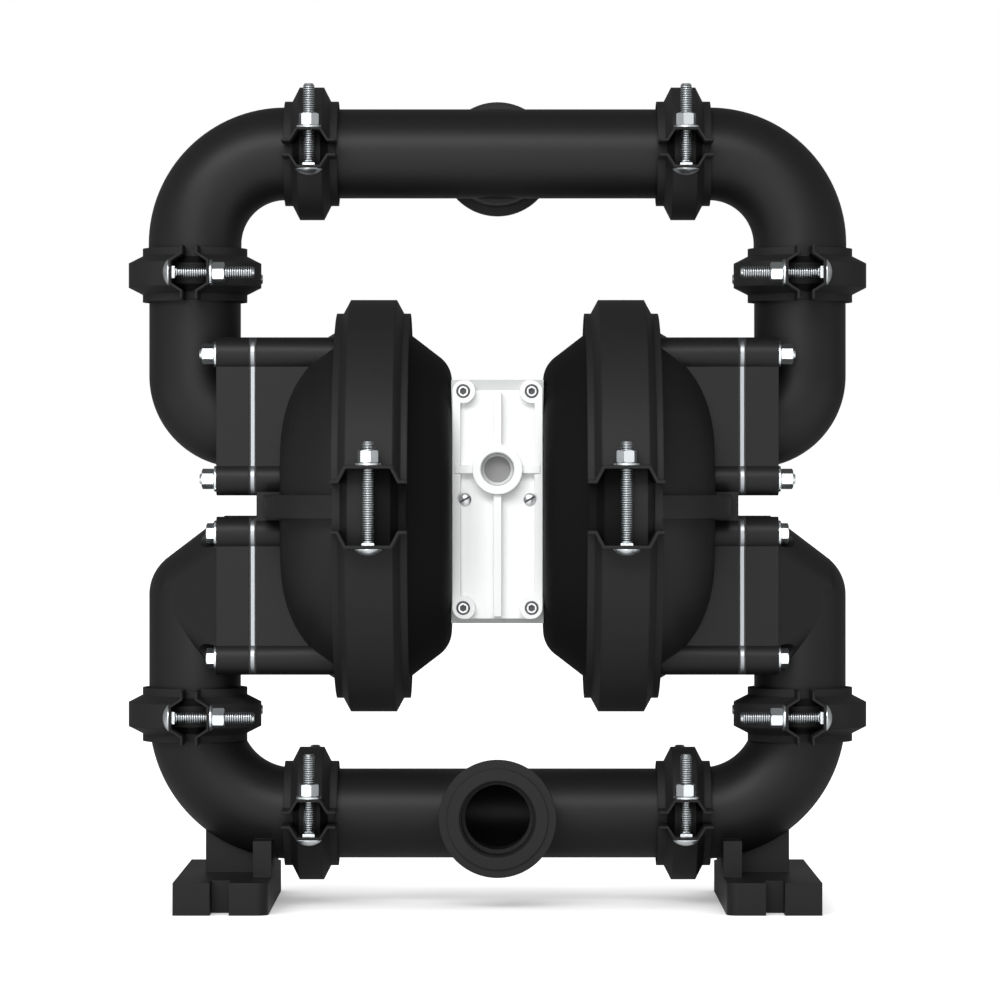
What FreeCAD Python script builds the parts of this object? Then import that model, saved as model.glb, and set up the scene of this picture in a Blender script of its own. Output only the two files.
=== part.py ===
import FreeCAD, Part
import math
import os
from collections import namedtuple

# Air operated double diaphragm pump with a clamped metal body and flap valves.
# Millimetres. +X is the right hand side seen from the front, +Y the back and +Z up.
# The origin is on the floor, under the middle of the pump.

# Layout
leg_x = 248.0                    # vertical pipe of each side, from the middle of the pump
discharge_axis_z = 614.0         # upper manifold
suction_axis_z = 73.5            # lower manifold
rod_axis_z = 325.5               # diaphragm rod and both chambers
manifold_joint_x = 152.0         # joint between manifold and elbow
discharge_leg_joint_z = 514.0    # joint between upper elbow and valve housing
suction_leg_joint_z = 155.0      # joint between lower elbow and valve housing
chamber_joint_x = 101.0          # middle of each diaphragm bead
valve_rise = 72.5                # valve port centres above and below the rod axis

# Cast pipes
bore_radius = 30.0
manifold_radius = 36.5
elbow_radius = 38.0
leg_radius = 37.5
discharge_bend = 74.0
suction_bend = 80.0
housing_throat = 0.2             # inner radius of the upper housing's tight bend
seal_inner_radius = 34.0
seal_outer_radius = 39.0
seal_depth = 2.4
joint_gap = 1.0

# Manifold ports
port_reach = 71.0
port_hub_radius = 40.3
port_ring_radius = 47.3
port_ring_thickness = 14.0
port_step_radius = 40.6
port_step_depth = 2.0
port_thread_radius = 29.2
port_thread_length = 24.0
port_throat_radius = 26.3
port_chamfer = 2.0

# Pipe clamps, pressed from sheet with a hat section
pipe_band_sheet = 2.0
pipe_band_width = 43.8
pipe_band_base = 31.6
pipe_band_crown = 19.8
pipe_band_lip = 42.8
pipe_band_ridge = 54.3
pipe_band_split = 10.0
pipe_ear_crown = 16.2
pipe_bolt_stand = 10.7           # bolt's axis outside the band's ridge
pipe_ear_edge = 13.0             # ear's end past the bolt's axis
pipe_bolt_tip = 52.0

# Chamber clamps, with the same section in a larger size
chamber_band_sheet = 2.5
chamber_band_width = 60.0
chamber_band_base = 49.4
chamber_band_crown = 37.4
chamber_band_lip = 157.5
chamber_band_ridge = 168.6
chamber_band_split = 37.0
chamber_ear_crown = 32.5
chamber_bolt_stand = 7.9
chamber_ear_edge = 11.5
chamber_bolt_tip = 51.3
band_fit = 0.3                   # between a band and the flanges inside it
pipe_collar_setback = 2.0        # a pipe's collar ends this far inside the band's lip
chamber_collar_setback = 1.0

# Bolts of three eighths of an inch with their nuts and washers
bolt_radius = 4.76
bolt_hole_radius = 5.2
nut_across_flats = 14.3
nut_height = 8.6
thread_fit = 0.12                # between a plain shank and the plain bore of its thread
hole_bottom = 1.0                # between a shank's end and the bottom of its hole
washer_radius = 10.4
washer_thickness = 1.6
washer_room = 1.0                # round a washer on a sloping casting
carriage_head_radius = 10.7
carriage_head_height = 5.5
carriage_knee_radius = 8.2
carriage_knee_height = 3.3
carriage_neck = 9.6
carriage_neck_length = 4.6
neck_fit = 0.2

# Outer chambers
rim_gap = 6.0                    # diaphragm bead between the two rims
dome_end_x = 175.3
dome_knuckle = 80.8
dome_shoulder = 13.3             # the dome's knuckle swings this far outside the cavity's wall
dome_wall = 7.0
cavity_radius = 138.0
dome_rib_height = 18.5
dome_rib_stand = 12.5
weld_overlap = 1.0               # a rib starts this far inside the collar

# Inner chambers
block_half_width = 37.3
cone_rim_radius = 141.0
cone_shoulder_x = 46.0
cone_shoulder_radius = 121.0
cone_flat_radius = 102.0
cone_wall = 6.0
cone_bulge_back = 1.6            # the cone's small end bulges by this much from a straight chamfer
cone_bulge_out = 2.0
air_cavity_radius = 136.3
rod_window_radius = 16.5
pilot_window_radius = 7.0
air_window_radius = 5.0

# Valve flanges
valve_face_x = 194.5
valve_gasket_thickness = 1.5
valve_plate_thickness = 3.0
valve_half = 59.0
valve_boss_radius = 13.5
valve_bolt_spacing = 50.5
housing_flange_thickness = 26.5
housing_bend_drop = 3.9          # the upper housing's bend leaves its flange this far below the port's middle
valve_hole_depth = 20.0
valve_stud_stub = 3.6
port_half_width = 24.0
port_half_height = 29.0
pocket_half_width = 31.0
pocket_below = 34.0
pocket_above = 46.0
pocket_depth = 17.0
hex_head_height = 6.4

# Lower valve housing
roof_x = 272.0
roof_half = 28.7
roof_corner = 21.7
shoulder_drop = 2.0
shoulder_corner = 27.0

# Flap valves
hinge_rise = 34.0
bead_radius = 2.6
bead_fit = 0.3
bead_stand = 0.2
flap_half_width = 26.0
flap_straight = 36.0
flap_thickness = 3.0
seat_overlap = 5.0
seat_top = 8.0
retainer_depth = 7.5
retainer_rise = 9.0
retainer_lip = 2.0
retainer_lip_angle = 42.0

# Diaphragms, plates and rod
stroke = 22.0
plate_radius = 82.0
plate_edge = 6.0
plate_recess = 6.0
plate_chamfer = 2.0
plate_slope = 4.0                # run of a plate's slopes at its rim and hub
hub_radius = 38.0
hub_length = 22.0
web_offset = 9.0                 # middle web of a diaphragm, outboard of its bead's middle
web_thickness = 5.0
web_clearance = 2.0              # from a plate's rim, or the clamped rim, to where the web starts to slope
bead_outer_radius = 156.0
rod_radius = 11.0
rod_end_radius = 8.0
rod_end_length = 40.0
rod_end_fit = 0.05
outer_hub_radius = 24.0
outer_hub_length = 18.0
running_fit = 0.05
bushing_radius = 15.0
bushing_length = 25.0
press_clearance = 0.08
rod_seal_length = 5.0

# Pilot rod
pilot_y = 28.0
pilot_radius = 5.0
pilot_travel = 5.0
stop_gap = 0.3

# Centre block with its valve sleeve and spool
block_bottom = 231.0
block_top = 427.4
block_half_depth = 58.0
sleeve_y = -36.0
sleeve_radius = 15.5
sleeve_bore = 11.0
sleeve_cap_thickness = 8.0
sleeve_boss_radius = 8.0
spool_half_length = 60.0
spool_neck_radius = 7.0
spool_land = 20.0
spool_travel = 10.0
sleeve_port_radius = 4.0
sleeve_port_pitch = 29.0
inlet_passage_radius = 7.0
air_channel_half = 7.0           # channel behind each cover, between its port and the block's passages
air_channel_depth = 4.0
exhaust_passage_radius = 6.0
exhaust_offset = 46.0
chamber_screw_y = 42.0
chamber_screw_z = 70.0
chamber_screw_radius = 3.0
chamber_screw_head = 5.5
chamber_screw_head_height = 6.0
chamber_screw_length = 12.0
screw_hole_fit = 0.3

# Covers
cover_half_width = 36.25
cover_bottom = 234.9
cover_top = 426.7
cover_thickness = 14.0
cover_corner = 9.0
cover_screw_boss = 9.7
cover_top_notch = 7.8
cover_rib_stand = 0.8
cover_rib_end = 2.0
cover_border = 6.5
cover_pocket = 7.0
cover_rib = 6.5
cover_port_z = 355.2
cover_boss_radius = 20.15
cover_boss_stand = 4.0
air_thread_radius = 13.2
air_thread_length = 14.0
air_throat_radius = 10.45
air_chamfer = 0.9
cover_screw_inset = 8.7
cover_screw_radius = 2.6
cover_screw_length = 22.0
cover_screw_head_radius = 5.2
cover_screw_head_height = 5.0
cover_screw_stand = 1.0
cover_screw_fit = 0.4
cover_socket = 2.6
cover_socket_depth = 2.5
slot_screw_x = 26.1
slot_screw_z = 331.0
slot_screw_head_height = 3.0
slot_width = 1.5
slot_depth = 1.8
slot_turn = 45.0
slot_screw_notch = 6.4

# Muffler
muffler_radius = 28.0
muffler_length = 66.0
muffler_neck_radius = 13.0
muffler_hex = 34.0
muffler_hex_height = 10.0
muffler_groove = 3.0
muffler_grooves = 5

# Feet
foot_inner_x = 182.5
foot_outer_x = 258.5
foot_half_depth = 111.0
foot_height = 26.0
foot_corner = 9.0
slot_x = 221.3
foot_slot_width = 15.2
foot_slot_depth = 23.0
cross_web_thickness = 15.0
cross_web_half = 58.0
cross_web_top = 55.0
long_web_outer_x = 238.7
long_web_half = 8.0
long_web_top = 90.0

Vector = FreeCAD.Vector
ORIGIN = Vector(0, 0, 0)
X_AXIS = Vector(1, 0, 0)
Y_AXIS = Vector(0, 1, 0)
Z_AXIS = Vector(0, 0, 1)
OVERRUN = 5.0                    # cutters run past a face by this much
TOLERANCE = 0.01
LEG_TURN = FreeCAD.Rotation(Y_AXIS, -90)
NO_TURN = FreeCAD.Rotation()

Band = namedtuple("Band", "sheet width base crown lip ridge split ear_crown ear_reach bolt_offset bolt_tip")

pipe_bolt_offset = pipe_band_ridge + pipe_bolt_stand
pipe_band = Band(
    pipe_band_sheet, pipe_band_width, pipe_band_base, pipe_band_crown, pipe_band_lip, pipe_band_ridge,
    pipe_band_split, pipe_ear_crown, pipe_bolt_offset + pipe_ear_edge, pipe_bolt_offset, pipe_bolt_tip)
chamber_bolt_offset = chamber_band_ridge + chamber_bolt_stand
chamber_band = Band(
    chamber_band_sheet, chamber_band_width, chamber_band_base, chamber_band_crown, chamber_band_lip,
    chamber_band_ridge, chamber_band_split, chamber_ear_crown, chamber_bolt_offset + chamber_ear_edge,
    chamber_bolt_offset, chamber_bolt_tip)

# Places that follow from the sizes above
valve_plate_x = valve_face_x + valve_gasket_thickness
housing_face_x = valve_plate_x + valve_plate_thickness + valve_gasket_thickness
housing_back_x = housing_face_x + housing_flange_thickness
housing_bend = leg_radius + housing_throat
discharge_port_z = rod_axis_z + valve_rise
suction_port_z = rod_axis_z - valve_rise
block_middle_z = (block_bottom + block_top) / 2
dome_flat_radius = cavity_radius + dome_shoulder - dome_knuckle
web_inner_x = chamber_joint_x + web_offset
web_outer_x = web_inner_x + web_thickness
hub_face_x = web_inner_x - hub_length


def box(x0, x1, y0, y1, z0, z1):
    """Box between two corners."""
    return Part.makeBox(x1 - x0, y1 - y0, z1 - z0, Vector(x0, y0, z0))


def bar(radius, start, end):
    """Round bar from one point to another."""
    return Part.makeCylinder(radius, (end - start).Length, start, end - start)


def fused(shapes):
    """One solid out of shapes that touch, without seams on shared faces."""
    return shapes[0].multiFuse(shapes[1:]).removeSplitter()


def placed(shape, origin, turn):
    """Copy of a shape, turned and then moved."""
    copy = shape.copy()
    copy.Placement = FreeCAD.Placement(origin, turn).multiply(copy.Placement)
    return copy


def aimed(shape, origin, direction):
    """Copy of a shape built along +Z, aimed along a direction."""
    return placed(shape, origin, FreeCAD.Rotation(Z_AXIS, direction))


def mirrored(shape):
    """The left hand twin of a right hand shape."""
    return shape.mirror(ORIGIN, X_AXIS)


def turned(profile, origin, direction):
    """Solid turned about an axis; a profile point is (distance along the axis, radius)."""
    corners = [Vector(radius, 0, along) for along, radius in profile]
    face = Part.Face(Part.makePolygon(corners + corners[:1]))
    return aimed(face.revolve(ORIGIN, Z_AXIS, 360), origin, direction)


def turned_outline(start, steps):
    """Solid turned about the chambers' axis from (x, radius) points; a pair of points is an arc."""
    def lift(point):
        return Vector(point[0], 0, rod_axis_z + point[1])
    edges = []
    here = start
    for step in steps + [start]:
        arc = isinstance(step[0], tuple)
        there = step[1] if arc else step
        if arc:
            edges.append(Part.Arc(lift(here), lift(step[0]), lift(there)).toShape())
        else:
            edges.append(Part.makeLine(lift(here), lift(there)))
        here = there
    face = Part.Face(Part.Wire(edges))
    return face.revolve(Vector(0, 0, rod_axis_z), X_AXIS, 360)


def quarter_bend(radius, start, heading, centre):
    """Quarter of a torus in the XZ plane, from the start round the centre."""
    face = Part.Face(Part.Wire(Part.makeCircle(radius, start, heading)))
    return face.revolve(centre, Y_AXIS, 90)


def hexagon(across_flats, height):
    """Hexagonal prism standing on the origin, with two flats facing X."""
    corner = across_flats / math.sqrt(3)
    angles = [math.radians(30 + 60 * index) for index in range(7)]
    points = [Vector(corner * math.cos(angle), corner * math.sin(angle), 0) for angle in angles]
    return Part.Face(Part.makePolygon(points)).extrude(Vector(0, 0, height))


# Clamp bands


def hat_corners(base, crown, low, high, inset):
    """Foot and top half widths and both heights of a hat section, stepped inwards by inset."""
    slope = math.atan2(high - low, (base - crown) / 2)
    back = inset * math.tan(slope / 2)
    return base / 2 - back, crown / 2 - back, low - inset, high - inset


def hat_face(band, low, high, inset, overhang):
    """Hat section above the X axis, as a face in the XZ plane."""
    foot, top, low, high = hat_corners(band.base, band.crown, low, high, inset)
    edge = band.width / 2 + overhang
    points = [
        (-edge, 0), (-edge, low), (-foot, low), (-top, high), (top, high), (foot, low), (edge, low), (edge, 0)]
    corners = [Vector(x, 0, z) for x, z in points]
    return Part.Face(Part.makePolygon(corners + corners[:1]))


def hat_body(band, inset, overhang):
    """Ring and both ears of a band, filled in to the axis."""
    ring = hat_face(band, band.lip, band.ridge, inset, overhang).revolve(ORIGIN, X_AXIS, 360)
    ears = hat_face(band, band.split / 2 + band.sheet, band.ear_crown, inset, overhang)
    reach = band.ear_reach + overhang
    ears.translate(Vector(0, -reach, 0))
    return ring.fuse(ears.extrude(Vector(0, 2 * reach, 0)))


def band_half(band, square_holes):
    """Upper half of a band about the X axis, with its split in the XY plane."""
    shell = hat_body(band, 0.0, 0.0).cut(hat_body(band, band.sheet, OVERRUN))
    limit = band.ear_reach + OVERRUN
    half = shell.common(box(-limit, limit, -limit, limit, band.split / 2, limit))
    for side in (-1, 1):
        if square_holes:
            edge = carriage_neck / 2 + neck_fit
            hole = box(-edge, edge, -edge, edge, 0, limit)
            hole.translate(Vector(0, side * band.bolt_offset, 0))
        else:
            foot = Vector(0, side * band.bolt_offset, 0)
            hole = bar(bolt_hole_radius, foot, foot + Z_AXIS * limit)
        half = half.cut(hole)
    return half.removeSplitter()


def band_pair(band):
    """Nut half above and head half below, about the X axis."""
    lower = placed(band_half(band, True), ORIGIN, FreeCAD.Rotation(X_AXIS, 180))
    return Part.makeCompound([band_half(band, False), lower])


def carriage_bolt(under_head, tip):
    """Round head below, square neck and shank up to the tip, along +Z."""
    rim = carriage_head_radius
    crown = Vector(0, 0, under_head - carriage_head_height)
    shoulder = Vector(rim, 0, under_head)
    knee = Vector(carriage_knee_radius, 0, under_head - carriage_knee_height)
    middle = Vector(0, 0, under_head)
    edges = [
        Part.Arc(crown, knee, shoulder).toShape(),
        Part.makeLine(shoulder, middle),
        Part.makeLine(middle, crown)]
    head = Part.Face(Part.Wire(edges)).revolve(ORIGIN, Z_AXIS, 360)
    edge = carriage_neck / 2
    neck = box(-edge, edge, -edge, edge, under_head, under_head + carriage_neck_length)
    return fused([head, neck, bar(bolt_radius, Vector(0, 0, under_head), Vector(0, 0, tip))])


def hex_nut():
    """Nut standing on the origin."""
    bore = bar(bolt_radius + thread_fit, Vector(0, 0, -OVERRUN), Vector(0, 0, nut_height + OVERRUN))
    return hexagon(nut_across_flats, nut_height).cut(bore)


def washer():
    """Flat washer standing on the origin."""
    return turned([(0, bolt_hole_radius), (0, washer_radius), (washer_thickness, washer_radius),
                   (washer_thickness, bolt_hole_radius)], ORIGIN, Z_AXIS)


def band_fasteners(band):
    """Bolts, nuts and washers of one band about the X axis."""
    bolts, nuts, washers = [], [], []
    for side in (-1, 1):
        foot = Vector(0, side * band.bolt_offset, 0)
        bolts.append(placed(carriage_bolt(-band.ear_crown, band.bolt_tip), foot, NO_TURN))
        washers.append(placed(washer(), foot + Z_AXIS * band.ear_crown, NO_TURN))
        nuts.append(placed(hex_nut(), foot + Z_AXIS * (band.ear_crown + washer_thickness), NO_TURN))
    return {"bolts": bolts, "nuts": nuts, "washers": washers}


# Cast pipes


def band_seat(band):
    """Foot and top of the flange that a band closes on, with its lip and ridge radii."""
    inset = band.sheet + band_fit
    return hat_corners(band.base, band.crown, band.lip, band.ridge, inset)


def pipe_end(joint, direction):
    """Flange and collar of a pipe that leaves a joint in a direction."""
    foot, top, low, high = band_seat(pipe_band)
    collar_end = pipe_band.width / 2 - pipe_collar_setback
    face = joint_gap / 2
    profile = [(face, 0), (face, high), (top, high), (foot, low), (collar_end, low), (collar_end, 0)]
    return turned(profile, joint, direction)


def neck_relief(joint, direction):
    """Cutter that turns a bend down to its collar, where the band goes round it."""
    low = band_seat(pipe_band)[2]
    outer = pipe_band.ridge + OVERRUN
    end = pipe_band.width / 2 + band_fit
    return turned([(0, low), (0, outer), (end, outer), (end, low)], joint, direction)


def seal_groove(joint, direction):
    """Cutter for the seal's groove in a flange face."""
    depth = joint_gap / 2 + seal_depth
    profile = [
        (0, seal_inner_radius), (0, seal_outer_radius), (depth, seal_outer_radius), (depth, seal_inner_radius)]
    return turned(profile, joint, direction)


def joint_seal(joint, direction):
    """Square section seal that fills the grooves of both flanges at a joint."""
    half = joint_gap / 2 + seal_depth
    inner = seal_inner_radius + press_clearance
    outer = seal_outer_radius - press_clearance
    return turned([(-half, inner), (-half, outer), (half, outer), (half, inner)], joint, direction)


def manifold(axis_z, port_direction):
    """Straight manifold with a flange at each end and a threaded port at its middle."""
    middle = Vector(0, 0, axis_z)
    half = manifold_joint_x - joint_gap / 2
    ring_back = port_reach - port_ring_thickness
    step = port_reach - port_step_depth
    port = [
        (0, 0), (0, port_hub_radius), (ring_back, port_hub_radius), (ring_back, port_ring_radius),
        (step, port_ring_radius), (step, port_step_radius), (port_reach, port_step_radius), (port_reach, 0)]
    solids = [
        bar(manifold_radius, middle - X_AXIS * half, middle + X_AXIS * half),
        turned(port, middle, port_direction)]
    thread_end = port_reach - port_thread_length
    rim = port_thread_radius + port_chamfer
    mouth = [
        (0, 0), (0, port_throat_radius), (thread_end, port_throat_radius), (thread_end, port_thread_radius),
        (port_reach - port_chamfer, port_thread_radius), (port_reach, rim), (port_reach + OVERRUN, rim),
        (port_reach + OVERRUN, 0)]
    reach = X_AXIS * (manifold_joint_x + OVERRUN)
    cutters = [bar(bore_radius, middle - reach, middle + reach), turned(mouth, middle, port_direction)]
    for side in (-1, 1):
        joint = middle + X_AXIS * (side * manifold_joint_x)
        solids.append(pipe_end(joint, X_AXIS * -side))
        cutters.append(seal_groove(joint, X_AXIS * -side))
    return fused(solids).cut(cutters)


def discharge_elbow():
    """Upper right elbow, from the manifold joint round and down to the leg joint."""
    joint_in = Vector(manifold_joint_x, 0, discharge_axis_z)
    joint_out = Vector(leg_x, 0, discharge_leg_joint_z)
    centre = Vector(leg_x - discharge_bend, 0, discharge_axis_z - discharge_bend)
    bend_in = centre + Z_AXIS * discharge_bend
    bend_out = centre + X_AXIS * discharge_bend
    solids = [
        bar(elbow_radius, joint_in + X_AXIS * (joint_gap / 2), bend_in),
        quarter_bend(elbow_radius, bend_in, X_AXIS, centre),
        bar(elbow_radius, joint_out + Z_AXIS * (joint_gap / 2), bend_out),
        pipe_end(joint_in, X_AXIS),
        pipe_end(joint_out, Z_AXIS)]
    cutters = [
        bar(bore_radius, joint_in, bend_in),
        quarter_bend(bore_radius, bend_in, X_AXIS, centre),
        bar(bore_radius, joint_out, bend_out),
        seal_groove(joint_in, X_AXIS),
        seal_groove(joint_out, Z_AXIS)]
    return fused(solids).cut(cutters)


def foot():
    """Right hand foot with open ended bolt slots and the two webs that carry the elbow."""
    base = box(foot_inner_x, foot_outer_x, -foot_half_depth, foot_half_depth, 0, foot_height)
    upright = [edge for edge in base.Edges if edge.BoundBox.ZLength > foot_height / 2]
    inner_corners = [edge for edge in upright if abs(edge.BoundBox.XMax - foot_inner_x) < TOLERANCE]
    base = base.makeFillet(foot_corner, inner_corners)
    for side in (-1, 1):
        ends = sorted((side * (foot_half_depth - foot_slot_depth), side * (foot_half_depth + OVERRUN)))
        half = foot_slot_width / 2
        base = base.cut(box(slot_x - half, slot_x + half, ends[0], ends[1], -OVERRUN, foot_height + OVERRUN))
    cross = box(foot_inner_x, foot_inner_x + cross_web_thickness, -cross_web_half, cross_web_half,
                foot_height, cross_web_top)
    along = box(foot_inner_x, long_web_outer_x, -long_web_half, long_web_half, foot_height, long_web_top)
    return [base, cross, along]


def suction_elbow():
    """Lower right elbow, from the leg joint down and round to the manifold joint, on its foot."""
    joint_in = Vector(leg_x, 0, suction_leg_joint_z)
    joint_out = Vector(manifold_joint_x, 0, suction_axis_z)
    centre = Vector(leg_x - suction_bend, 0, suction_axis_z + suction_bend)
    bend_in = centre + X_AXIS * suction_bend
    bend_out = centre - Z_AXIS * suction_bend
    solids = [
        bar(leg_radius, joint_in - Z_AXIS * (joint_gap / 2), bend_in),
        quarter_bend(leg_radius, bend_in, -Z_AXIS, centre).cut(neck_relief(joint_in, -Z_AXIS)),
        bar(leg_radius, joint_out + X_AXIS * (joint_gap / 2), bend_out),
        pipe_end(joint_in, -Z_AXIS),
        pipe_end(joint_out, X_AXIS)]
    cutters = [
        quarter_bend(bore_radius, bend_in, -Z_AXIS, centre),
        bar(bore_radius, joint_in, bend_in),
        bar(bore_radius, joint_out, bend_out),
        seal_groove(joint_in, -Z_AXIS),
        seal_groove(joint_out, X_AXIS)]
    return fused(solids + foot()).cut(cutters)


# Valve flanges and housings


def bolt_places(port_z):
    """Corners of a valve flange, as (y, z)."""
    reach = valve_bolt_spacing
    return [(side * reach, port_z + rise * reach) for side in (-1, 1) for rise in (-1, 1)]


def valve_slab(x0, x1, port_z):
    """Valve flange outline between two X stations: a square with round corner bosses."""
    solids = [box(x0, x1, -valve_half, valve_half, port_z - valve_half, port_z + valve_half)]
    for y, z in bolt_places(port_z):
        solids.append(bar(valve_boss_radius, Vector(x0, y, z), Vector(x1, y, z)))
    return fused(solids)


def flange_holes(x0, x1, port_z, radius):
    """Cutters for the four corner holes."""
    return [bar(radius, Vector(x0, y, z), Vector(x1, y, z)) for y, z in bolt_places(port_z)]


def pocket(x0, x1, port_z):
    """Room for a flap and its retainer."""
    return box(x0, x1, -pocket_half_width, pocket_half_width, port_z - pocket_below, port_z + pocket_above)


def discharge_housing():
    """Upper right valve housing: flange, tight bend and the leg up to its joint."""
    joint = Vector(leg_x, 0, discharge_leg_joint_z)
    centre = Vector(leg_x - housing_bend, 0, discharge_port_z + housing_bend - housing_bend_drop)
    bend_in = centre + X_AXIS * housing_bend
    bend_out = centre - Z_AXIS * housing_bend
    face = Vector(housing_face_x, 0, bend_out.z)
    solids = [
        valve_slab(housing_face_x, housing_back_x, discharge_port_z),
        bar(leg_radius, joint - Z_AXIS * (joint_gap / 2), bend_in),
        quarter_bend(leg_radius, bend_in, -Z_AXIS, centre),
        bar(leg_radius, face, bend_out),
        pipe_end(joint, -Z_AXIS)]
    cutters = [
        bar(bore_radius, joint, bend_in),
        quarter_bend(bore_radius, bend_in, -Z_AXIS, centre),
        bar(bore_radius, face - X_AXIS * OVERRUN, bend_out),
        pocket(housing_face_x - OVERRUN, housing_face_x + pocket_depth, discharge_port_z),
        seal_groove(joint, -Z_AXIS)]
    front, back = housing_face_x - OVERRUN, housing_back_x + OVERRUN
    cutters += flange_holes(front, back, discharge_port_z, bolt_hole_radius)
    return fused(solids).cut(cutters)


def rounded_rectangle(x, half_y, z0, z1, corner):
    """Closed wire across the X axis with four round corners."""
    y0, y1 = -half_y, half_y
    lean = corner * (1 - math.sqrt(0.5))
    stations = [
        ((y0 + corner, z0), (y1 - corner, z0), (y1 - lean, z0 + lean)),
        ((y1, z0 + corner), (y1, z1 - corner), (y1 - lean, z1 - lean)),
        ((y1 - corner, z1), (y0 + corner, z1), (y0 + lean, z1 - lean)),
        ((y0, z1 - corner), (y0, z0 + corner), (y0 + lean, z0 + lean))]
    edges = []
    for index, (first, last, through) in enumerate(stations):
        onward = stations[(index + 1) % 4][0]
        edges.append(Part.makeLine(Vector(x, *first), Vector(x, *last)))
        edges.append(Part.Arc(Vector(x, *last), Vector(x, *through), Vector(x, *onward)).toShape())
    return Part.Wire(edges)


def suction_housing():
    """Lower right valve housing: flange, tapered shoulder, round roof and the leg down to its joint."""
    joint = Vector(leg_x, 0, suction_leg_joint_z)
    top = Vector(leg_x, 0, suction_port_z)
    reach = valve_bolt_spacing + valve_boss_radius - shoulder_drop
    wide = rounded_rectangle(housing_back_x, valve_half - shoulder_drop, suction_port_z - reach,
                             suction_port_z + reach, shoulder_corner)
    narrow = rounded_rectangle(roof_x, roof_half, suction_port_z - roof_half,
                               suction_port_z + roof_half, roof_corner)
    solids = [
        valve_slab(housing_face_x, housing_back_x, suction_port_z),
        Part.makeLoft([wide, narrow], True, True),
        bar(leg_radius, joint + Z_AXIS * (joint_gap / 2), top),
        Part.makeSphere(leg_radius, top),
        pipe_end(joint, Z_AXIS)]
    cutters = [
        bar(bore_radius, joint, top),
        Part.makeSphere(bore_radius, top),
        bar(bore_radius, Vector(housing_face_x - OVERRUN, 0, suction_port_z), top),
        seal_groove(joint, Z_AXIS)]
    front, back = housing_face_x - OVERRUN, housing_back_x + OVERRUN
    cutters += flange_holes(front, back, suction_port_z, bolt_hole_radius)
    housing = fused(solids).cut(cutters)
    for y, z in bolt_places(suction_port_z):
        seat = Vector(housing_back_x, y, z)
        end = Vector(roof_x, y, z)
        housing = housing.cut(bar(washer_radius + washer_room, seat, end))
    return housing


def seat_opening(x0, x1, hinge_z):
    """Cutter for the opening that a flap closes: straight above and round below."""
    half = flap_half_width - seat_overlap
    straight = box(x0, x1, -half, half, hinge_z - flap_straight, hinge_z - seat_top)
    end_z = hinge_z - flap_straight
    return straight.fuse(bar(half, Vector(x0, 0, end_z), Vector(x1, 0, end_z)))


def valve_plate(port_z):
    """Steel seat plate of one valve."""
    x0, x1 = valve_plate_x, valve_plate_x + valve_plate_thickness
    cutters = flange_holes(x0 - OVERRUN, x1 + OVERRUN, port_z, bolt_hole_radius)
    cutters.append(seat_opening(x0 - OVERRUN, x1 + OVERRUN, port_z + hinge_rise))
    return valve_slab(x0, x1, port_z).cut(cutters)


def valve_gasket(x0, port_z):
    """Gasket on one side of a seat plate."""
    x1 = x0 + valve_gasket_thickness
    cutters = flange_holes(x0 - OVERRUN, x1 + OVERRUN, port_z, bolt_hole_radius)
    cutters.append(pocket(x0 - OVERRUN, x1 + OVERRUN, port_z))
    return valve_slab(x0, x1, port_z).cut(cutters)


def flap():
    """Rubber flap that hangs from its bead; the plate's face is the YZ plane and it opens to +X."""
    axis_x = bead_stand + bead_radius
    bead = bar(bead_radius, Vector(axis_x, -flap_half_width, 0), Vector(axis_x, flap_half_width, 0))
    x0, x1 = bead_stand, bead_stand + flap_thickness
    sheet = box(x0, x1, -flap_half_width, flap_half_width, -flap_straight, 0)
    end = bar(flap_half_width, Vector(x0, 0, -flap_straight), Vector(x1, 0, -flap_straight))
    tip = -flap_straight - flap_half_width
    end = end.common(box(x0, x1, -flap_half_width, flap_half_width, tip, -flap_straight))
    return fused([bead, sheet, end])


def flap_retainer():
    """Steel bar that holds a flap's bead against the plate and leaves the flap free to swing."""
    axis_x = bead_stand + bead_radius
    block = box(0, retainer_depth, -flap_half_width, flap_half_width, -retainer_lip, retainer_rise)
    channel = bar(bead_radius + bead_fit, Vector(axis_x, -flap_half_width - OVERRUN, 0),
                  Vector(axis_x, flap_half_width + OVERRUN, 0))
    angle = math.radians(retainer_lip_angle)
    far = 4 * retainer_depth
    edge = (axis_x + far * math.cos(angle), -far * math.sin(angle))
    corners = [(axis_x, 0), edge, (-OVERRUN, -far), (-OVERRUN, 0)]
    wedge = Part.Face(Part.makePolygon([Vector(x, 0, z) for x, z in corners + corners[:1]]))
    wedge.translate(Vector(0, -flap_half_width - OVERRUN, 0))
    return block.cut([channel, wedge.extrude(Vector(0, 2 * (flap_half_width + OVERRUN), 0))])


def flap_stations():
    """Where the right hand flaps hang: port, hinge point on the plate and turn about Z."""
    outboard = valve_plate_x + valve_plate_thickness
    return {
        "discharge": (Vector(outboard, 0, discharge_port_z + hinge_rise), FreeCAD.Rotation(Z_AXIS, 0)),
        "suction": (Vector(valve_plate_x, 0, suction_port_z + hinge_rise), FreeCAD.Rotation(Z_AXIS, 180))}


def flange_stud(y, z):
    """Stud of an upper valve flange, from the chamber out through the nut."""
    tip = housing_back_x + washer_thickness + nut_height + valve_stud_stub
    return bar(bolt_radius, Vector(valve_face_x - valve_hole_depth + hole_bottom, y, z), Vector(tip, y, z))


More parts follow.
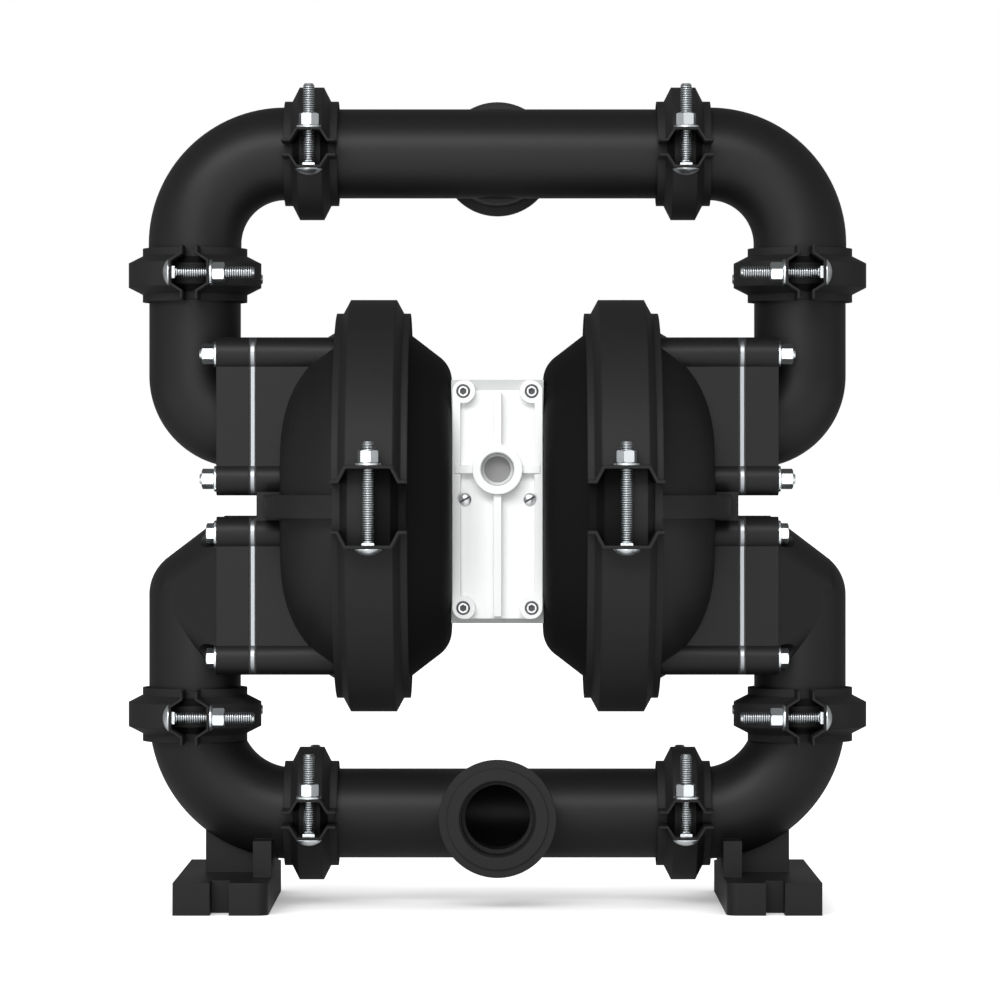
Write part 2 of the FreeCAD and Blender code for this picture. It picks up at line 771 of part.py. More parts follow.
def flange_bolt(y, z):
    """Hex head bolt of a lower valve flange."""
    seat = housing_back_x + washer_thickness
    shank = bar(bolt_radius, Vector(valve_face_x - valve_hole_depth + hole_bottom, y, z), Vector(seat, y, z))
    head = aimed(hexagon(nut_across_flats, hex_head_height), Vector(seat, y, z), X_AXIS)
    return fused([shank, head])


# Chambers


def outer_chamber():
    """Right hand liquid chamber: clamped rim, dome, two valve blocks and the ribs between them."""
    foot_in, top_in, low, high = band_seat(chamber_band)
    rim = chamber_joint_x + rim_gap / 2
    collar_end = chamber_joint_x + chamber_band.width / 2 - chamber_collar_setback
    knuckle_x = dome_end_x - dome_knuckle
    dome_start = dome_flat_radius + math.sqrt(dome_knuckle ** 2 - (collar_end - knuckle_x) ** 2)
    quarter = math.sqrt(0.5)
    through = (knuckle_x + dome_knuckle * quarter, dome_flat_radius + dome_knuckle * quarter)
    dome = turned_outline((rim, 0), [
        (rim, high), (chamber_joint_x + top_in, high), (chamber_joint_x + foot_in, low), (collar_end, low),
        (collar_end, dome_start), (through, (dome_end_x, dome_flat_radius)), (dome_end_x, 0)])
    inner_knuckle = dome_knuckle - dome_wall
    straight_x = knuckle_x + math.sqrt(inner_knuckle ** 2 - (cavity_radius - dome_flat_radius) ** 2)
    half_angle = math.asin((cavity_radius - dome_flat_radius) / inner_knuckle) / 2
    inner_through = (knuckle_x + inner_knuckle * math.cos(half_angle),
                     dome_flat_radius + inner_knuckle * math.sin(half_angle))
    inner_end = dome_end_x - dome_wall
    cavity = turned_outline((rim - OVERRUN, 0), [
        (rim - OVERRUN, cavity_radius), (straight_x, cavity_radius),
        (inner_through, (inner_end, dome_flat_radius)), (inner_end, 0)])
    rib_knuckle = dome_knuckle + dome_rib_stand
    rib_end = dome_end_x + dome_rib_stand
    rib_through = (knuckle_x + rib_knuckle * quarter, dome_flat_radius + rib_knuckle * quarter)
    rib_start = dome_flat_radius + math.sqrt(rib_knuckle ** 2 - (collar_end - knuckle_x) ** 2)
    rib_root = collar_end - weld_overlap
    rib = turned_outline((rib_root, 0), [
        (rib_root, min(rib_start, low)), (collar_end, min(rib_start, low)),
        (rib_through, (rib_end, dome_flat_radius)), (rib_end, 0)])
    rib_half = dome_rib_height / 2
    rib = rib.common(box(0, 2 * rib_end, -high, high, rod_axis_z - rib_half, rod_axis_z + rib_half))
    block_start = chamber_joint_x + chamber_band.width / 2
    web = box(block_start, valve_face_x, -valve_half, valve_half, suction_port_z, discharge_port_z)
    solids = [dome, rib, web]
    for port_z in (discharge_port_z, suction_port_z):
        solids.append(valve_slab(block_start, valve_face_x, port_z))
    cutters = [cavity]
    cutters.append(box(chamber_joint_x + rim_gap, valve_face_x + OVERRUN, -port_half_width, port_half_width,
                       discharge_port_z - port_half_height, discharge_port_z + port_half_height))
    cutters.append(pocket(dome_end_x - dome_knuckle / 2, valve_face_x + OVERRUN, suction_port_z))
    for port_z in (discharge_port_z, suction_port_z):
        cutters += flange_holes(valve_face_x - valve_hole_depth, valve_face_x + OVERRUN, port_z,
                                bolt_radius + thread_fit)
    return fused(solids).cut(cutters)


def inner_chamber():
    """Right hand air chamber: clamped rim and cone down to the face that meets the centre block."""
    foot_in, top_in, low, high = band_seat(chamber_band)
    rim = chamber_joint_x - rim_gap / 2
    collar_end = chamber_joint_x - chamber_band.width / 2 + chamber_collar_setback
    bulge_x = (block_half_width + cone_shoulder_x) / 2 - cone_bulge_back
    bulge = (bulge_x, (cone_flat_radius + cone_shoulder_radius) / 2 + cone_bulge_out)
    cone = turned_outline((rim, 0), [
        (rim, high), (chamber_joint_x - top_in, high), (chamber_joint_x - foot_in, low), (collar_end, low),
        (collar_end, cone_rim_radius), (cone_shoulder_x, cone_shoulder_radius),
        (bulge, (block_half_width, cone_flat_radius)), (block_half_width, 0)])
    run = collar_end - cone_shoulder_x
    fall = cone_rim_radius - cone_shoulder_radius
    length = math.hypot(run, fall)
    shift_x = cone_wall * fall / length
    shift_r = cone_wall * run / length
    floor_x = block_half_width + cone_wall
    cavity = turned_outline((rim + OVERRUN, 0), [
        (rim + OVERRUN, air_cavity_radius), (collar_end + shift_x, air_cavity_radius),
        (cone_shoulder_x + shift_x, cone_shoulder_radius - shift_r), (floor_x, cone_flat_radius - cone_wall),
        (floor_x, 0)])
    axis = Vector(0, 0, rod_axis_z)
    through = X_AXIS * (floor_x + OVERRUN)
    pilot = axis + Y_AXIS * pilot_y
    cutters = [cavity, bar(rod_window_radius, axis, axis + through),
               bar(pilot_window_radius, pilot, pilot + through)]
    port = Vector(0, sleeve_y, block_middle_z)
    for rise in (-1, 1):
        start = port + Z_AXIS * (rise * sleeve_port_pitch)
        cutters.append(bar(air_window_radius, start, start + through))
    for y, z in chamber_screw_places():
        start = Vector(0, y, z)
        cutters.append(bar(chamber_screw_radius + screw_hole_fit, start, start + through))
    return cone.cut(cutters)


def chamber_screw_places():
    """Screws that hold an inner chamber on the centre block, as (y, z)."""
    reach = chamber_screw_z
    return [(side * chamber_screw_y, rod_axis_z + rise * reach) for side in (-1, 1) for rise in (-1, 1)]


def chamber_screw(y, z):
    """Cap screw from inside the right hand air chamber into the centre block."""
    seat = chamber_screw_length + cone_wall
    top = seat + chamber_screw_head_height
    profile = [(0, 0), (0, chamber_screw_radius), (seat, chamber_screw_radius), (seat, chamber_screw_head),
               (top, chamber_screw_head), (top, 0)]
    return turned(profile, Vector(block_half_width - chamber_screw_length, y, z), X_AXIS)


# Diaphragms, plates and rod


def diaphragm():
    """Right hand diaphragm: clamped bead, sloping web and flat middle."""
    rim_in = chamber_joint_x - rim_gap / 2
    rim_out = chamber_joint_x + rim_gap / 2
    bore = rod_end_radius + rod_end_fit
    start_r = plate_radius + web_clearance
    neck_r = air_cavity_radius - web_clearance
    lean = (rim_gap - web_thickness) / 2
    return turned_outline((web_inner_x, bore), [
        (web_inner_x, start_r), (rim_in + lean, neck_r), (rim_in, cavity_radius),
        (rim_in, bead_outer_radius), (rim_out, bead_outer_radius),
        (rim_out, cavity_radius), (rim_out - lean, neck_r), (web_outer_x, start_r), (web_outer_x, bore)])


def inner_plate():
    """Right hand plate on the air side, with the hub that pushes the pilot rod."""
    bore = rod_end_radius + rod_end_fit
    disc_x = web_inner_x - plate_edge
    waist_x = disc_x - plate_recess
    return turned_outline((hub_face_x, bore), [
        (hub_face_x, hub_radius), (waist_x, hub_radius + plate_slope), (disc_x, plate_radius - plate_slope),
        (disc_x + plate_chamfer, plate_radius), (web_inner_x, plate_radius), (web_inner_x, bore)])


def outer_plate():
    """Right hand plate on the liquid side, screwed on the rod's end."""
    bore = rod_end_radius + rod_end_fit
    edge_x = web_outer_x + plate_edge
    hub_x = web_outer_x + outer_hub_length
    bore_x = hub_face_x + rod_end_length + hole_bottom
    return turned_outline((web_outer_x, bore), [
        (web_outer_x, plate_radius), (edge_x - plate_chamfer, plate_radius),
        (edge_x, plate_radius - plate_slope), (edge_x + plate_slope, outer_hub_radius + plate_slope),
        (hub_x - plate_chamfer, outer_hub_radius),
        (hub_x, outer_hub_radius - plate_chamfer), (hub_x, 0), (bore_x, 0), (bore_x, bore)])


def diaphragm_rod():
    """Rod through the centre block with a stepped end for each pair of plates."""
    profile = [(-hub_face_x - rod_end_length, 0), (-hub_face_x - rod_end_length, rod_end_radius),
               (-hub_face_x, rod_end_radius), (-hub_face_x, rod_radius), (hub_face_x, rod_radius),
               (hub_face_x, rod_end_radius), (hub_face_x + rod_end_length, rod_end_radius),
               (hub_face_x + rod_end_length, 0)]
    return turned(profile, Vector(0, 0, rod_axis_z), X_AXIS)


def ring(x0, x1, outer, inner):
    """Ring about the rod's axis."""
    return turned([(x0, inner), (x0, outer), (x1, outer), (x1, inner)], Vector(0, 0, rod_axis_z), X_AXIS)


def rod_bushing():
    """Right hand guide bushing of the rod."""
    return ring(block_half_width - bushing_length, block_half_width, bushing_radius, rod_radius + running_fit)


def rod_seal():
    """Right hand seal ring, inboard of the bushing."""
    end = block_half_width - bushing_length
    return ring(end - rod_seal_length, end, bushing_radius, rod_radius + 2 * running_fit)


def pilot_rod():
    """Pilot rod that the plates push at each end of their stroke."""
    half = hub_face_x - stroke - stop_gap + pilot_travel
    middle = Vector(0, pilot_y, rod_axis_z)
    return bar(pilot_radius, middle - X_AXIS * half, middle + X_AXIS * half)


# Centre block and air valve


def cover_screw_places():
    """Corner screws of a cover, as (x, z)."""
    x = cover_half_width - cover_screw_inset
    heights = (cover_bottom + cover_screw_inset, cover_top - cover_screw_inset)
    return [(side * x, z) for side in (-1, 1) for z in heights]


def centre_block():
    """Block between the chambers, bored for the rod, the pilot rod and the valve sleeve."""
    half, depth = block_half_width, block_half_depth
    body = box(-half, half, -depth, depth, block_bottom, block_top)
    axis = Vector(0, 0, rod_axis_z)
    reach = X_AXIS * (block_half_width + OVERRUN)
    pilot = axis + Y_AXIS * pilot_y
    sleeve = Vector(0, sleeve_y, block_bottom - OVERRUN)
    cutters = [
        bar(bushing_radius + press_clearance, axis - reach, axis + reach),
        bar(pilot_radius + running_fit, pilot - reach, pilot + reach),
        bar(sleeve_radius + press_clearance, sleeve, Vector(0, sleeve_y, block_top + OVERRUN)),
        bar(inlet_passage_radius, Vector(0, -block_half_depth - OVERRUN, block_middle_z),
            Vector(0, sleeve_y, block_middle_z))]
    for rise in (-1, 1):
        port_z = block_middle_z + rise * sleeve_port_pitch
        cutters.append(bar(sleeve_port_radius, Vector(0, sleeve_y, port_z),
                           Vector(rise * (block_half_width + OVERRUN), sleeve_y, port_z)))
        exhaust_z = block_middle_z + rise * exhaust_offset
        cutters.append(bar(exhaust_passage_radius, Vector(0, sleeve_y, exhaust_z),
                           Vector(0, block_half_depth + OVERRUN, exhaust_z)))
    for y, z in chamber_screw_places():
        for side in (-1, 1):
            cutters.append(bar(chamber_screw_radius + thread_fit,
                               Vector(side * (block_half_width - chamber_screw_length - hole_bottom), y, z),
                               Vector(side * (block_half_width + OVERRUN), y, z)))
    hole_start = -cover_screw_seat() - cover_screw_length + cover_screw_head_height - hole_bottom
    for x, z in cover_screw_places():
        for side in (-1, 1):
            cutters.append(bar(cover_screw_radius + thread_fit, Vector(x, side * hole_start, z),
                               Vector(x, side * (block_half_depth + OVERRUN), z)))
    return body.cut(cutters)


def valve_sleeve():
    """Sleeve of the main air valve, cross bored for inlet, chamber and exhaust ports."""
    bottom = block_bottom + sleeve_cap_thickness
    top = block_top - sleeve_cap_thickness
    start = Vector(0, sleeve_y, bottom)
    length = top - bottom
    profile = [(0, sleeve_bore), (0, sleeve_radius), (length, sleeve_radius), (length, sleeve_bore)]
    sleeve = turned(profile, start, Z_AXIS)
    reach = sleeve_radius + OVERRUN
    inlet = Vector(0, sleeve_y, block_middle_z)
    cutters = [bar(sleeve_port_radius, inlet, inlet - Y_AXIS * reach)]
    for rise in (-1, 1):
        port = Vector(0, sleeve_y, block_middle_z + rise * sleeve_port_pitch)
        cutters.append(bar(sleeve_port_radius, port, port + X_AXIS * (rise * reach)))
        port = Vector(0, sleeve_y, block_middle_z + rise * exhaust_offset)
        cutters.append(bar(sleeve_port_radius, port, port + Y_AXIS * reach))
    return sleeve.cut(cutters)


def sleeve_cap(rise):
    """Plug at the top or bottom of the sleeve, whose boss stops the spool."""
    outer_face = block_top if rise > 0 else block_bottom
    boss_end = (block_top - block_bottom) / 2 - spool_half_length - spool_travel - stop_gap
    profile = [(0, 0), (0, sleeve_radius), (sleeve_cap_thickness, sleeve_radius),
               (sleeve_cap_thickness, sleeve_boss_radius), (boss_end, sleeve_boss_radius), (boss_end, 0)]
    return turned(profile, Vector(0, sleeve_y, outer_face), Z_AXIS * -rise)


def main_spool():
    """Spool with three lands and two necks."""
    half = spool_half_length
    land = sleeve_bore - running_fit
    inner = spool_land / 2
    profile = [(-half, 0), (-half, land), (-half + spool_land, land), (-half + spool_land, spool_neck_radius),
               (-inner, spool_neck_radius), (-inner, land), (inner, land), (inner, spool_neck_radius),
               (half - spool_land, spool_neck_radius), (half - spool_land, land), (half, land), (half, 0)]
    return turned(profile, Vector(0, sleeve_y, block_middle_z), Z_AXIS)


def cover(channel_low, channel_high):
    """Front cover: rounded plate with crossed ribs, screw bosses, a threaded port and an air channel."""
    back = -block_half_depth
    front = back - cover_thickness
    floor = front + cover_pocket
    plate = box(-cover_half_width, cover_half_width, front, back, cover_bottom, cover_top)
    upright = [edge for edge in plate.Edges if edge.BoundBox.YLength > cover_thickness / 2]
    plate = plate.makeFillet(cover_corner, upright)
    inner = cover_half_width - cover_border
    boss_x = cover_half_width - cover_screw_inset
    recess = box(-inner, inner, front - OVERRUN, floor, cover_bottom - OVERRUN, cover_top + OVERRUN)
    notch_z = cover_top - cover_top_notch
    notch = box(-boss_x, boss_x, front - OVERRUN, back + OVERRUN, notch_z, cover_top + OVERRUN)
    cutters = [recess, notch]
    for side in (-1, 1):
        middle = Vector(side * slot_screw_x, floor, slot_screw_z)
        cutters.append(bar(slot_screw_notch, middle, middle - Y_AXIS * (cover_pocket + OVERRUN)))
    half = cover_rib / 2
    rib_front = front - cover_rib_stand
    rib_half = cover_half_width - cover_rib_end
    outside = Vector(0, front - cover_boss_stand, cover_port_z)
    parts = [
        plate.cut(cutters),
        box(-half, half, rib_front, back, cover_bottom + cover_rib_end, notch_z - cover_rib_end),
        box(-rib_half, rib_half, rib_front, back, cover_port_z - half, cover_port_z + half),
        bar(cover_boss_radius, Vector(0, back, cover_port_z), outside)]
    for x, z in cover_screw_places():
        parts.append(bar(cover_screw_boss, Vector(x, back, z), Vector(x, front, z)).common(plate))
    mouth = [(-OVERRUN, 0), (-OVERRUN, air_thread_radius + air_chamfer), (0, air_thread_radius + air_chamfer),
             (air_chamfer, air_thread_radius), (air_thread_length, air_thread_radius),
             (air_thread_length, air_throat_radius), (cover_thickness + 2 * OVERRUN, air_throat_radius),
             (cover_thickness + 2 * OVERRUN, 0)]
    channel = box(-air_channel_half, air_channel_half, back - air_channel_depth, back + OVERRUN,
                  channel_low, channel_high)
    holes = [turned(mouth, outside, Y_AXIS), channel]
    seat = cover_screw_seat()
    for x, z in cover_screw_places():
        end = Vector(x, front - OVERRUN, z)
        holes.append(bar(cover_screw_radius + screw_hole_fit, Vector(x, back + OVERRUN, z), end))
        holes.append(bar(cover_screw_head_radius + cover_screw_fit, Vector(x, seat, z), end))
    return fused(parts).cut(holes)


def cover_screw_seat():
    """Y of the counterbores' floors in the front cover."""
    return -block_half_depth - cover_thickness + cover_screw_head_height - cover_screw_stand


def cover_screw(x, z):
    """Socket head screw of the front cover, in its counterbore."""
    seat = cover_screw_seat()
    shank_end = cover_screw_length - cover_screw_head_height
    profile = [
        (-cover_screw_head_height, 0), (-cover_screw_head_height, cover_screw_head_radius),
        (0, cover_screw_head_radius), (0, cover_screw_radius), (shank_end, cover_screw_radius), (shank_end, 0)]
    screw = turned(profile, Vector(x, seat, z), Y_AXIS)
    mouth = Vector(x, seat - cover_screw_head_height + cover_socket_depth, z)
    return screw.cut(aimed(hexagon(2 * cover_socket, 2 * cover_socket_depth), mouth, -Y_AXIS))


def slotted_screw(x):
    """Small slotted screw in the floor of the front cover's pocket."""
    floor_y = -block_half_depth - cover_thickness + cover_pocket
    profile = [(-slot_screw_head_height, 0), (-slot_screw_head_height, cover_screw_head_radius),
               (0, cover_screw_head_radius), (0, 0)]
    screw = turned(profile, Vector(x, floor_y, slot_screw_z), Y_AXIS)
    half = slot_width / 2
    top = floor_y - slot_screw_head_height
    reach = cover_screw_head_radius + OVERRUN
    slot = box(-reach, reach, -OVERRUN, slot_depth, -half, half)
    return screw.cut(placed(slot, Vector(x, top, slot_screw_z), FreeCAD.Rotation(Y_AXIS, slot_turn)))


def muffler():
    """Exhaust muffler screwed into the back cover."""
    seat = block_half_depth + cover_thickness + cover_boss_stand
    start = Vector(0, seat, cover_port_z)
    neck = bar(muffler_neck_radius, start - Y_AXIS * (air_thread_length - hole_bottom), start)
    hexed = aimed(hexagon(muffler_hex, muffler_hex_height), start, Y_AXIS)
    step = muffler_length / (2 * muffler_grooves + 1)
    profile = [(muffler_hex_height, 0), (muffler_hex_height, muffler_radius)]
    for index in range(muffler_grooves):
        near = muffler_hex_height + step * (2 * index + 1)
        far = near + step
        root = muffler_radius - muffler_groove
        profile += [(near, muffler_radius), (near, root), (far, root), (far, muffler_radius)]
    end = muffler_hex_height + muffler_length
    profile += [(end - muffler_groove, muffler_radius), (end, muffler_radius - muffler_groove), (end, 0)]
    return fused([neck, hexed, turned(profile, start, Y_AXIS)])


# Export


def export(name, solids):
    """Write one node; a list becomes a group of separate solids."""
    shape = solids if not isinstance(solids, list) else Part.makeCompound(solids)
    shape.exportStep("parts/" + name + ".step")


def both(shape):
    """A right hand shape and its left hand twin."""
    return [shape, mirrored(shape)]


def export_sides(name, shape):
    """Write a right hand node and its left hand twin."""
    export(name + "_right", shape)
    export(name + "_left", mirrored(shape))


def pipe_joints():
    """Right hand pipe joints: name, middle and turn of the band."""
    return [
        ("discharge_manifold_clamp", Vector(manifold_joint_x, 0, discharge_axis_z), NO_TURN),
        ("discharge_leg_clamp", Vector(leg_x, 0, discharge_leg_joint_z), LEG_TURN),
        ("suction_leg_clamp", Vector(leg_x, 0, suction_leg_joint_z), LEG_TURN),
        ("suction_manifold_clamp", Vector(manifold_joint_x, 0, suction_axis_z), NO_TURN)]


def export_pipework():
    """Write the manifolds, elbows and valve housings."""
    export("discharge_manifold", manifold(discharge_axis_z, Y_AXIS))
    export("suction_manifold", manifold(suction_axis_z, -Y_AXIS))
    export_sides("discharge_elbow", discharge_elbow())
    export_sides("suction_elbow", suction_elbow())
    export_sides("discharge_housing", discharge_housing())
    export_sides("suction_housing", suction_housing())


def export_pipe_clamps():
    """Write the eight pipe clamps, their fasteners and the seals inside them."""
    pair = band_pair(pipe_band)
    fasteners = band_fasteners(pipe_band)
    groups = {"bolts": [], "nuts": [], "washers": []}
    seals = []
    for name, middle, turn in pipe_joints():
        export_sides(name, placed(pair, middle, turn))
        for kind, pieces in fasteners.items():
            for piece in pieces:
                groups[kind] += both(placed(piece, middle, turn))
        seals += both(joint_seal(middle, turn.multVec(X_AXIS)))
    for kind, pieces in groups.items():
        export("pipe_clamp_" + kind, pieces)
    export("pipe_joint_seals", seals)


def export_chambers():
    """Write the chambers, their clamps and screws, and the diaphragms."""
    export_sides("outer_chamber", outer_chamber())
    export_sides("inner_chamber", inner_chamber())
    middle = Vector(chamber_joint_x, 0, rod_axis_z)
    export_sides("chamber_clamp", placed(band_pair(chamber_band), middle, NO_TURN))
    for kind, pieces in band_fasteners(chamber_band).items():
        group = []
        for piece in pieces:
            group += both(placed(piece, middle, NO_TURN))
        export("chamber_clamp_" + kind, group)
    screws = []
    for y, z in chamber_screw_places():
        screws += both(chamber_screw(y, z))
    export("chamber_screws", screws)
    export_sides("diaphragm", diaphragm())


def export_valves():
    """Write the flap valves and the fasteners of their flanges."""
    plates, gaskets, retainers = [], [], []
    for port_z in (discharge_port_z, suction_port_z):
        plates += both(valve_plate(port_z))
        gaskets += both(valve_gasket(valve_face_x, port_z))
        gaskets += both(valve_gasket(valve_plate_x + valve_plate_thickness, port_z))
    for name, (point, turn) in flap_stations().items():
        retainers += both(placed(flap_retainer(), point, turn))
        export_sides(name + "_flap", placed(flap(), point, turn))
    export("valve_seat_plates", plates)
    export("valve_gaskets", gaskets)
    export("flap_retainers", retainers)
    washers, nuts = [], []
    for port_z in (discharge_port_z, suction_port_z):
        for y, z in bolt_places(port_z):
            washers += both(aimed(washer(), Vector(housing_back_x, y, z), X_AXIS))
    for y, z in bolt_places(discharge_port_z):
        nuts += both(aimed(hex_nut(), Vector(housing_back_x + washer_thickness, y, z), X_AXIS))
    export("flange_washers", washers)
    export("flange_nuts", nuts)
    studs, bolts = [], []
    for y, z in bolt_places(discharge_port_z):
        studs += both(flange_stud(y, z))
    for y, z in bolt_places(suction_port_z):
        bolts += both(flange_bolt(y, z))
    export("flange_studs", studs)
    export("flange_bolts", bolts)


def export_drive():
    """Write the rod with its plates and guides, and the pilot rod."""
    export("diaphragm_rod", diaphragm_rod())
    export("inner_plates", both(inner_plate()))
    export("outer_plates", both(outer_plate()))
    export("pilot_rod", pilot_rod())
    export("rod_bushings", both(rod_bushing()))
    export("rod_seals", both(rod_seal()))


def export_air_valve():
    """Write the centre block, the air valve, both covers and the muffler."""
    export("centre_block", centre_block())
    export("valve_sleeve", valve_sleeve())
    export("sleeve_caps", [sleeve_cap(-1), sleeve_cap(1)])
    export("main_spool", main_spool())
    export("inlet_cover", cover(block_middle_z - inlet_passage_radius, cover_port_z))
    reach = exhaust_offset + exhaust_passage_radius
    exhaust_cover = cover(block_middle_z - reach, block_middle_z + reach)
    export("exhaust_cover", exhaust_cover.mirror(ORIGIN, Y_AXIS))
    screws = [cover_screw(x, z) for x, z in cover_screw_places()]
    export("cover_screws", screws + [screw.mirror(ORIGIN, Y_AXIS) for screw in screws])
    export("slotted_screws", [slotted_screw(side * slot_screw_x) for side in (-1, 1)])
    export("muffler", muffler())


os.makedirs("parts", exist_ok=True)
export_pipework()
export_pipe_clamps()
export_chambers()
export_valves()
export_drive()
export_air_valve()
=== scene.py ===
"""Looks for an air operated diaphragm pump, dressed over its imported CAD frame. Metres, +Z up, front at -Y."""

import logging
import math
from dataclasses import dataclass
from enum import Enum
from typing import Dict, List, Optional, Sequence, Tuple, Union

import bpy
from mathutils import Matrix, Vector


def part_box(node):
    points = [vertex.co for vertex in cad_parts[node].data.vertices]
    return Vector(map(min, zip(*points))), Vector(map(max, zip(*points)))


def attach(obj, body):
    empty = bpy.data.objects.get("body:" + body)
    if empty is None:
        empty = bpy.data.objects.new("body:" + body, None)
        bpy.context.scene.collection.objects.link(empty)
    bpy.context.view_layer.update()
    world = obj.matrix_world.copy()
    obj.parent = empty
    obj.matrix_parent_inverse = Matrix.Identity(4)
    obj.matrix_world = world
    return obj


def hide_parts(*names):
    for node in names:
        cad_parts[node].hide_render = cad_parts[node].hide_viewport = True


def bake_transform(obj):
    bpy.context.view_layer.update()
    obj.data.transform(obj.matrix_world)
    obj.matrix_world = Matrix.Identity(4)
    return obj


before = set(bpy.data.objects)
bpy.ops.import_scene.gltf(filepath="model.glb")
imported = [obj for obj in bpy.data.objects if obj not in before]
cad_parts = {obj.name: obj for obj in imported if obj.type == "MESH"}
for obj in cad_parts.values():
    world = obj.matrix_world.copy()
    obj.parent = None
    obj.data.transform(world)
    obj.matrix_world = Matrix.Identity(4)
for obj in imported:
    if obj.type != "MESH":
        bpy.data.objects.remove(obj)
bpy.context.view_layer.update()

LOG = logging.getLogger("pump")
# Mesh attribute marking a thread's roots, which the plated finish paints darker as painted shade
GROOVE_SHADE = "groove"

# Shading: grains in a mottle, stretch along the rolling, noise layers and bevel samples
MOTTLE_GRAINS = 40.0
ROLLING_STRETCH = 6.0
NOISE_LAYERS = 3.0
BEVEL_SAMPLES = 4

# Angles in degrees past which an edge stays sharp
HEXAGON_ANGLE = 18.0
THREAD_ANGLE = 24.0
SCREW_ANGLE = 25.0
RUBBER_ANGLE = 30.0
ROUND_ANGLE = 32.0

# Merging: how near two vertices are one, and how short an edge is no edge
WELD = 0.000005
SLIVER = 0.000001

Point = Tuple[float, float]
Colour = Tuple[float, float, float]
Number = Union[int, float, "Value"]
Tint = Union[Colour, bpy.types.NodeSocket]


# Shader building


class Value:
    """A number on a shader socket that can be used in plain arithmetic."""

    def __init__(self, tree: "Tree", socket: bpy.types.NodeSocket) -> None:
        """Keep the socket and the tree it belongs to."""
        self.tree = tree
        self.socket = socket

    def _maths(self, operation: str, first: Number, second: Number) -> "Value":
        """Add one Math node.

        Args:
            operation: the Math node's operation.
            first: the left hand value.
            second: the right hand value.

        Returns:
            The result's value.
        """
        node = self.tree.node("ShaderNodeMath", {"operation": operation}, {0: first, 1: second})
        return Value(self.tree, node.outputs[0])

    def __add__(self, other: Number) -> "Value":
        """Sum."""
        return self._maths("ADD", self, other)

    def __radd__(self, other: Number) -> "Value":
        """Sum with a number on the left."""
        return self._maths("ADD", other, self)

    def __sub__(self, other: Number) -> "Value":
        """Difference."""
        return self._maths("SUBTRACT", self, other)

    def __rsub__(self, other: Number) -> "Value":
        """Difference with a number on the left."""
        return self._maths("SUBTRACT", other, self)

    def __mul__(self, other: Number) -> "Value":
        """Product."""
        return self._maths("MULTIPLY", self, other)

    def __rmul__(self, other: Number) -> "Value":
        """Product with a number on the left."""
        return self._maths("MULTIPLY", other, self)


class Tree:
    """A node tree of a material or the world, with one way to add a node."""

    def __init__(self, owner: Union[bpy.types.Material, bpy.types.World]) -> None:
        """Empty the owner's tree and keep it."""
        owner.use_nodes = True
        self.tree = owner.node_tree
        self.tree.nodes.clear()

    def node(self, kind: str, settings: Optional[Dict] = None,
             inputs: Optional[Dict] = None) -> bpy.types.Node:
        """Add a node.

        Args:
            kind: the node's type.
            settings: the node's own settings, which are set first.
            inputs: a value or a link for each socket, by name or place.

        Returns:
            The new node.
        """
        made = self.tree.nodes.new(kind)
        for name, setting in (settings or {}).items():
            setattr(made, name, setting)
        for name, given in (inputs or {}).items():
            if isinstance(given, Value):
                given = given.socket
            if isinstance(given, bpy.types.NodeSocket):
                self.tree.links.new(given, made.inputs[name])
            else:
                made.inputs[name].default_value = given
        return made

    def place(self, stretch: Tuple[float, float, float] = (1.0, 1.0, 1.0)) -> bpy.types.NodeSocket:
        """Object coordinates, stretched along the axes.

        Args:
            stretch: scale along each axis.

        Returns:
            The vector's socket.
        """
        coordinates = self.node("ShaderNodeTexCoord")
        mapping = self.node("ShaderNodeMapping", {}, {
            "Vector": coordinates.outputs["Object"], "Scale": stretch})
        return mapping.outputs["Vector"]

    def noise(self, vector: bpy.types.NodeSocket, size: float, detail: float = 2.0) -> Value:
        """Noise between 0 and 1.

        Args:
            vector: where it is read.
            size: the size of its grains in metres.
            detail: how many finer layers it has.

        Returns:
            The noise's value.
        """
        made = self.node("ShaderNodeTexNoise", {}, {"Vector": vector, "Scale": 1.0 / size, "Detail": detail})
        return Value(self, made.outputs["Fac"])

    def cells(self, vector: bpy.types.NodeSocket, size: float) -> Value:
        """Distance to the nearest grain of a packed bed.

        Args:
            vector: where it is read.
            size: the grains' size in metres.

        Returns:
            The distance's value.
        """
        made = self.node("ShaderNodeTexVoronoi", {}, {"Vector": vector, "Scale": 1.0 / size})
        return Value(self, made.outputs["Distance"])

    def blend(self, share: Value, first: Tint, second: Tint) -> bpy.types.NodeSocket:
        """Mix of two colours.

        Args:
            share: how much of the second one.
            first: colour or colour socket at 0.
            second: colour or colour socket at 1.

        Returns:
            The colour's socket.
        """
        ends = [(*given, 1.0) if isinstance(given, tuple) else given for given in (first, second)]
        made = self.node("ShaderNodeMix", {"data_type": "RGBA"}, {"Factor": share, 6: ends[0], 7: ends[1]})
        return made.outputs[2]


class Grain(Enum):
    """What a finish looks like from close by."""

    POWDER = "powder coat over a casting"
    PRESSED = "coat over pressed sheet"
    PLATED = "zinc plate"
    ROLLED = "rolled sheet"
    MOULDED = "moulded plastic"
    RUBBER = "moulded rubber"
    POROUS = "sintered beads"
    TURNED = "turned metal"


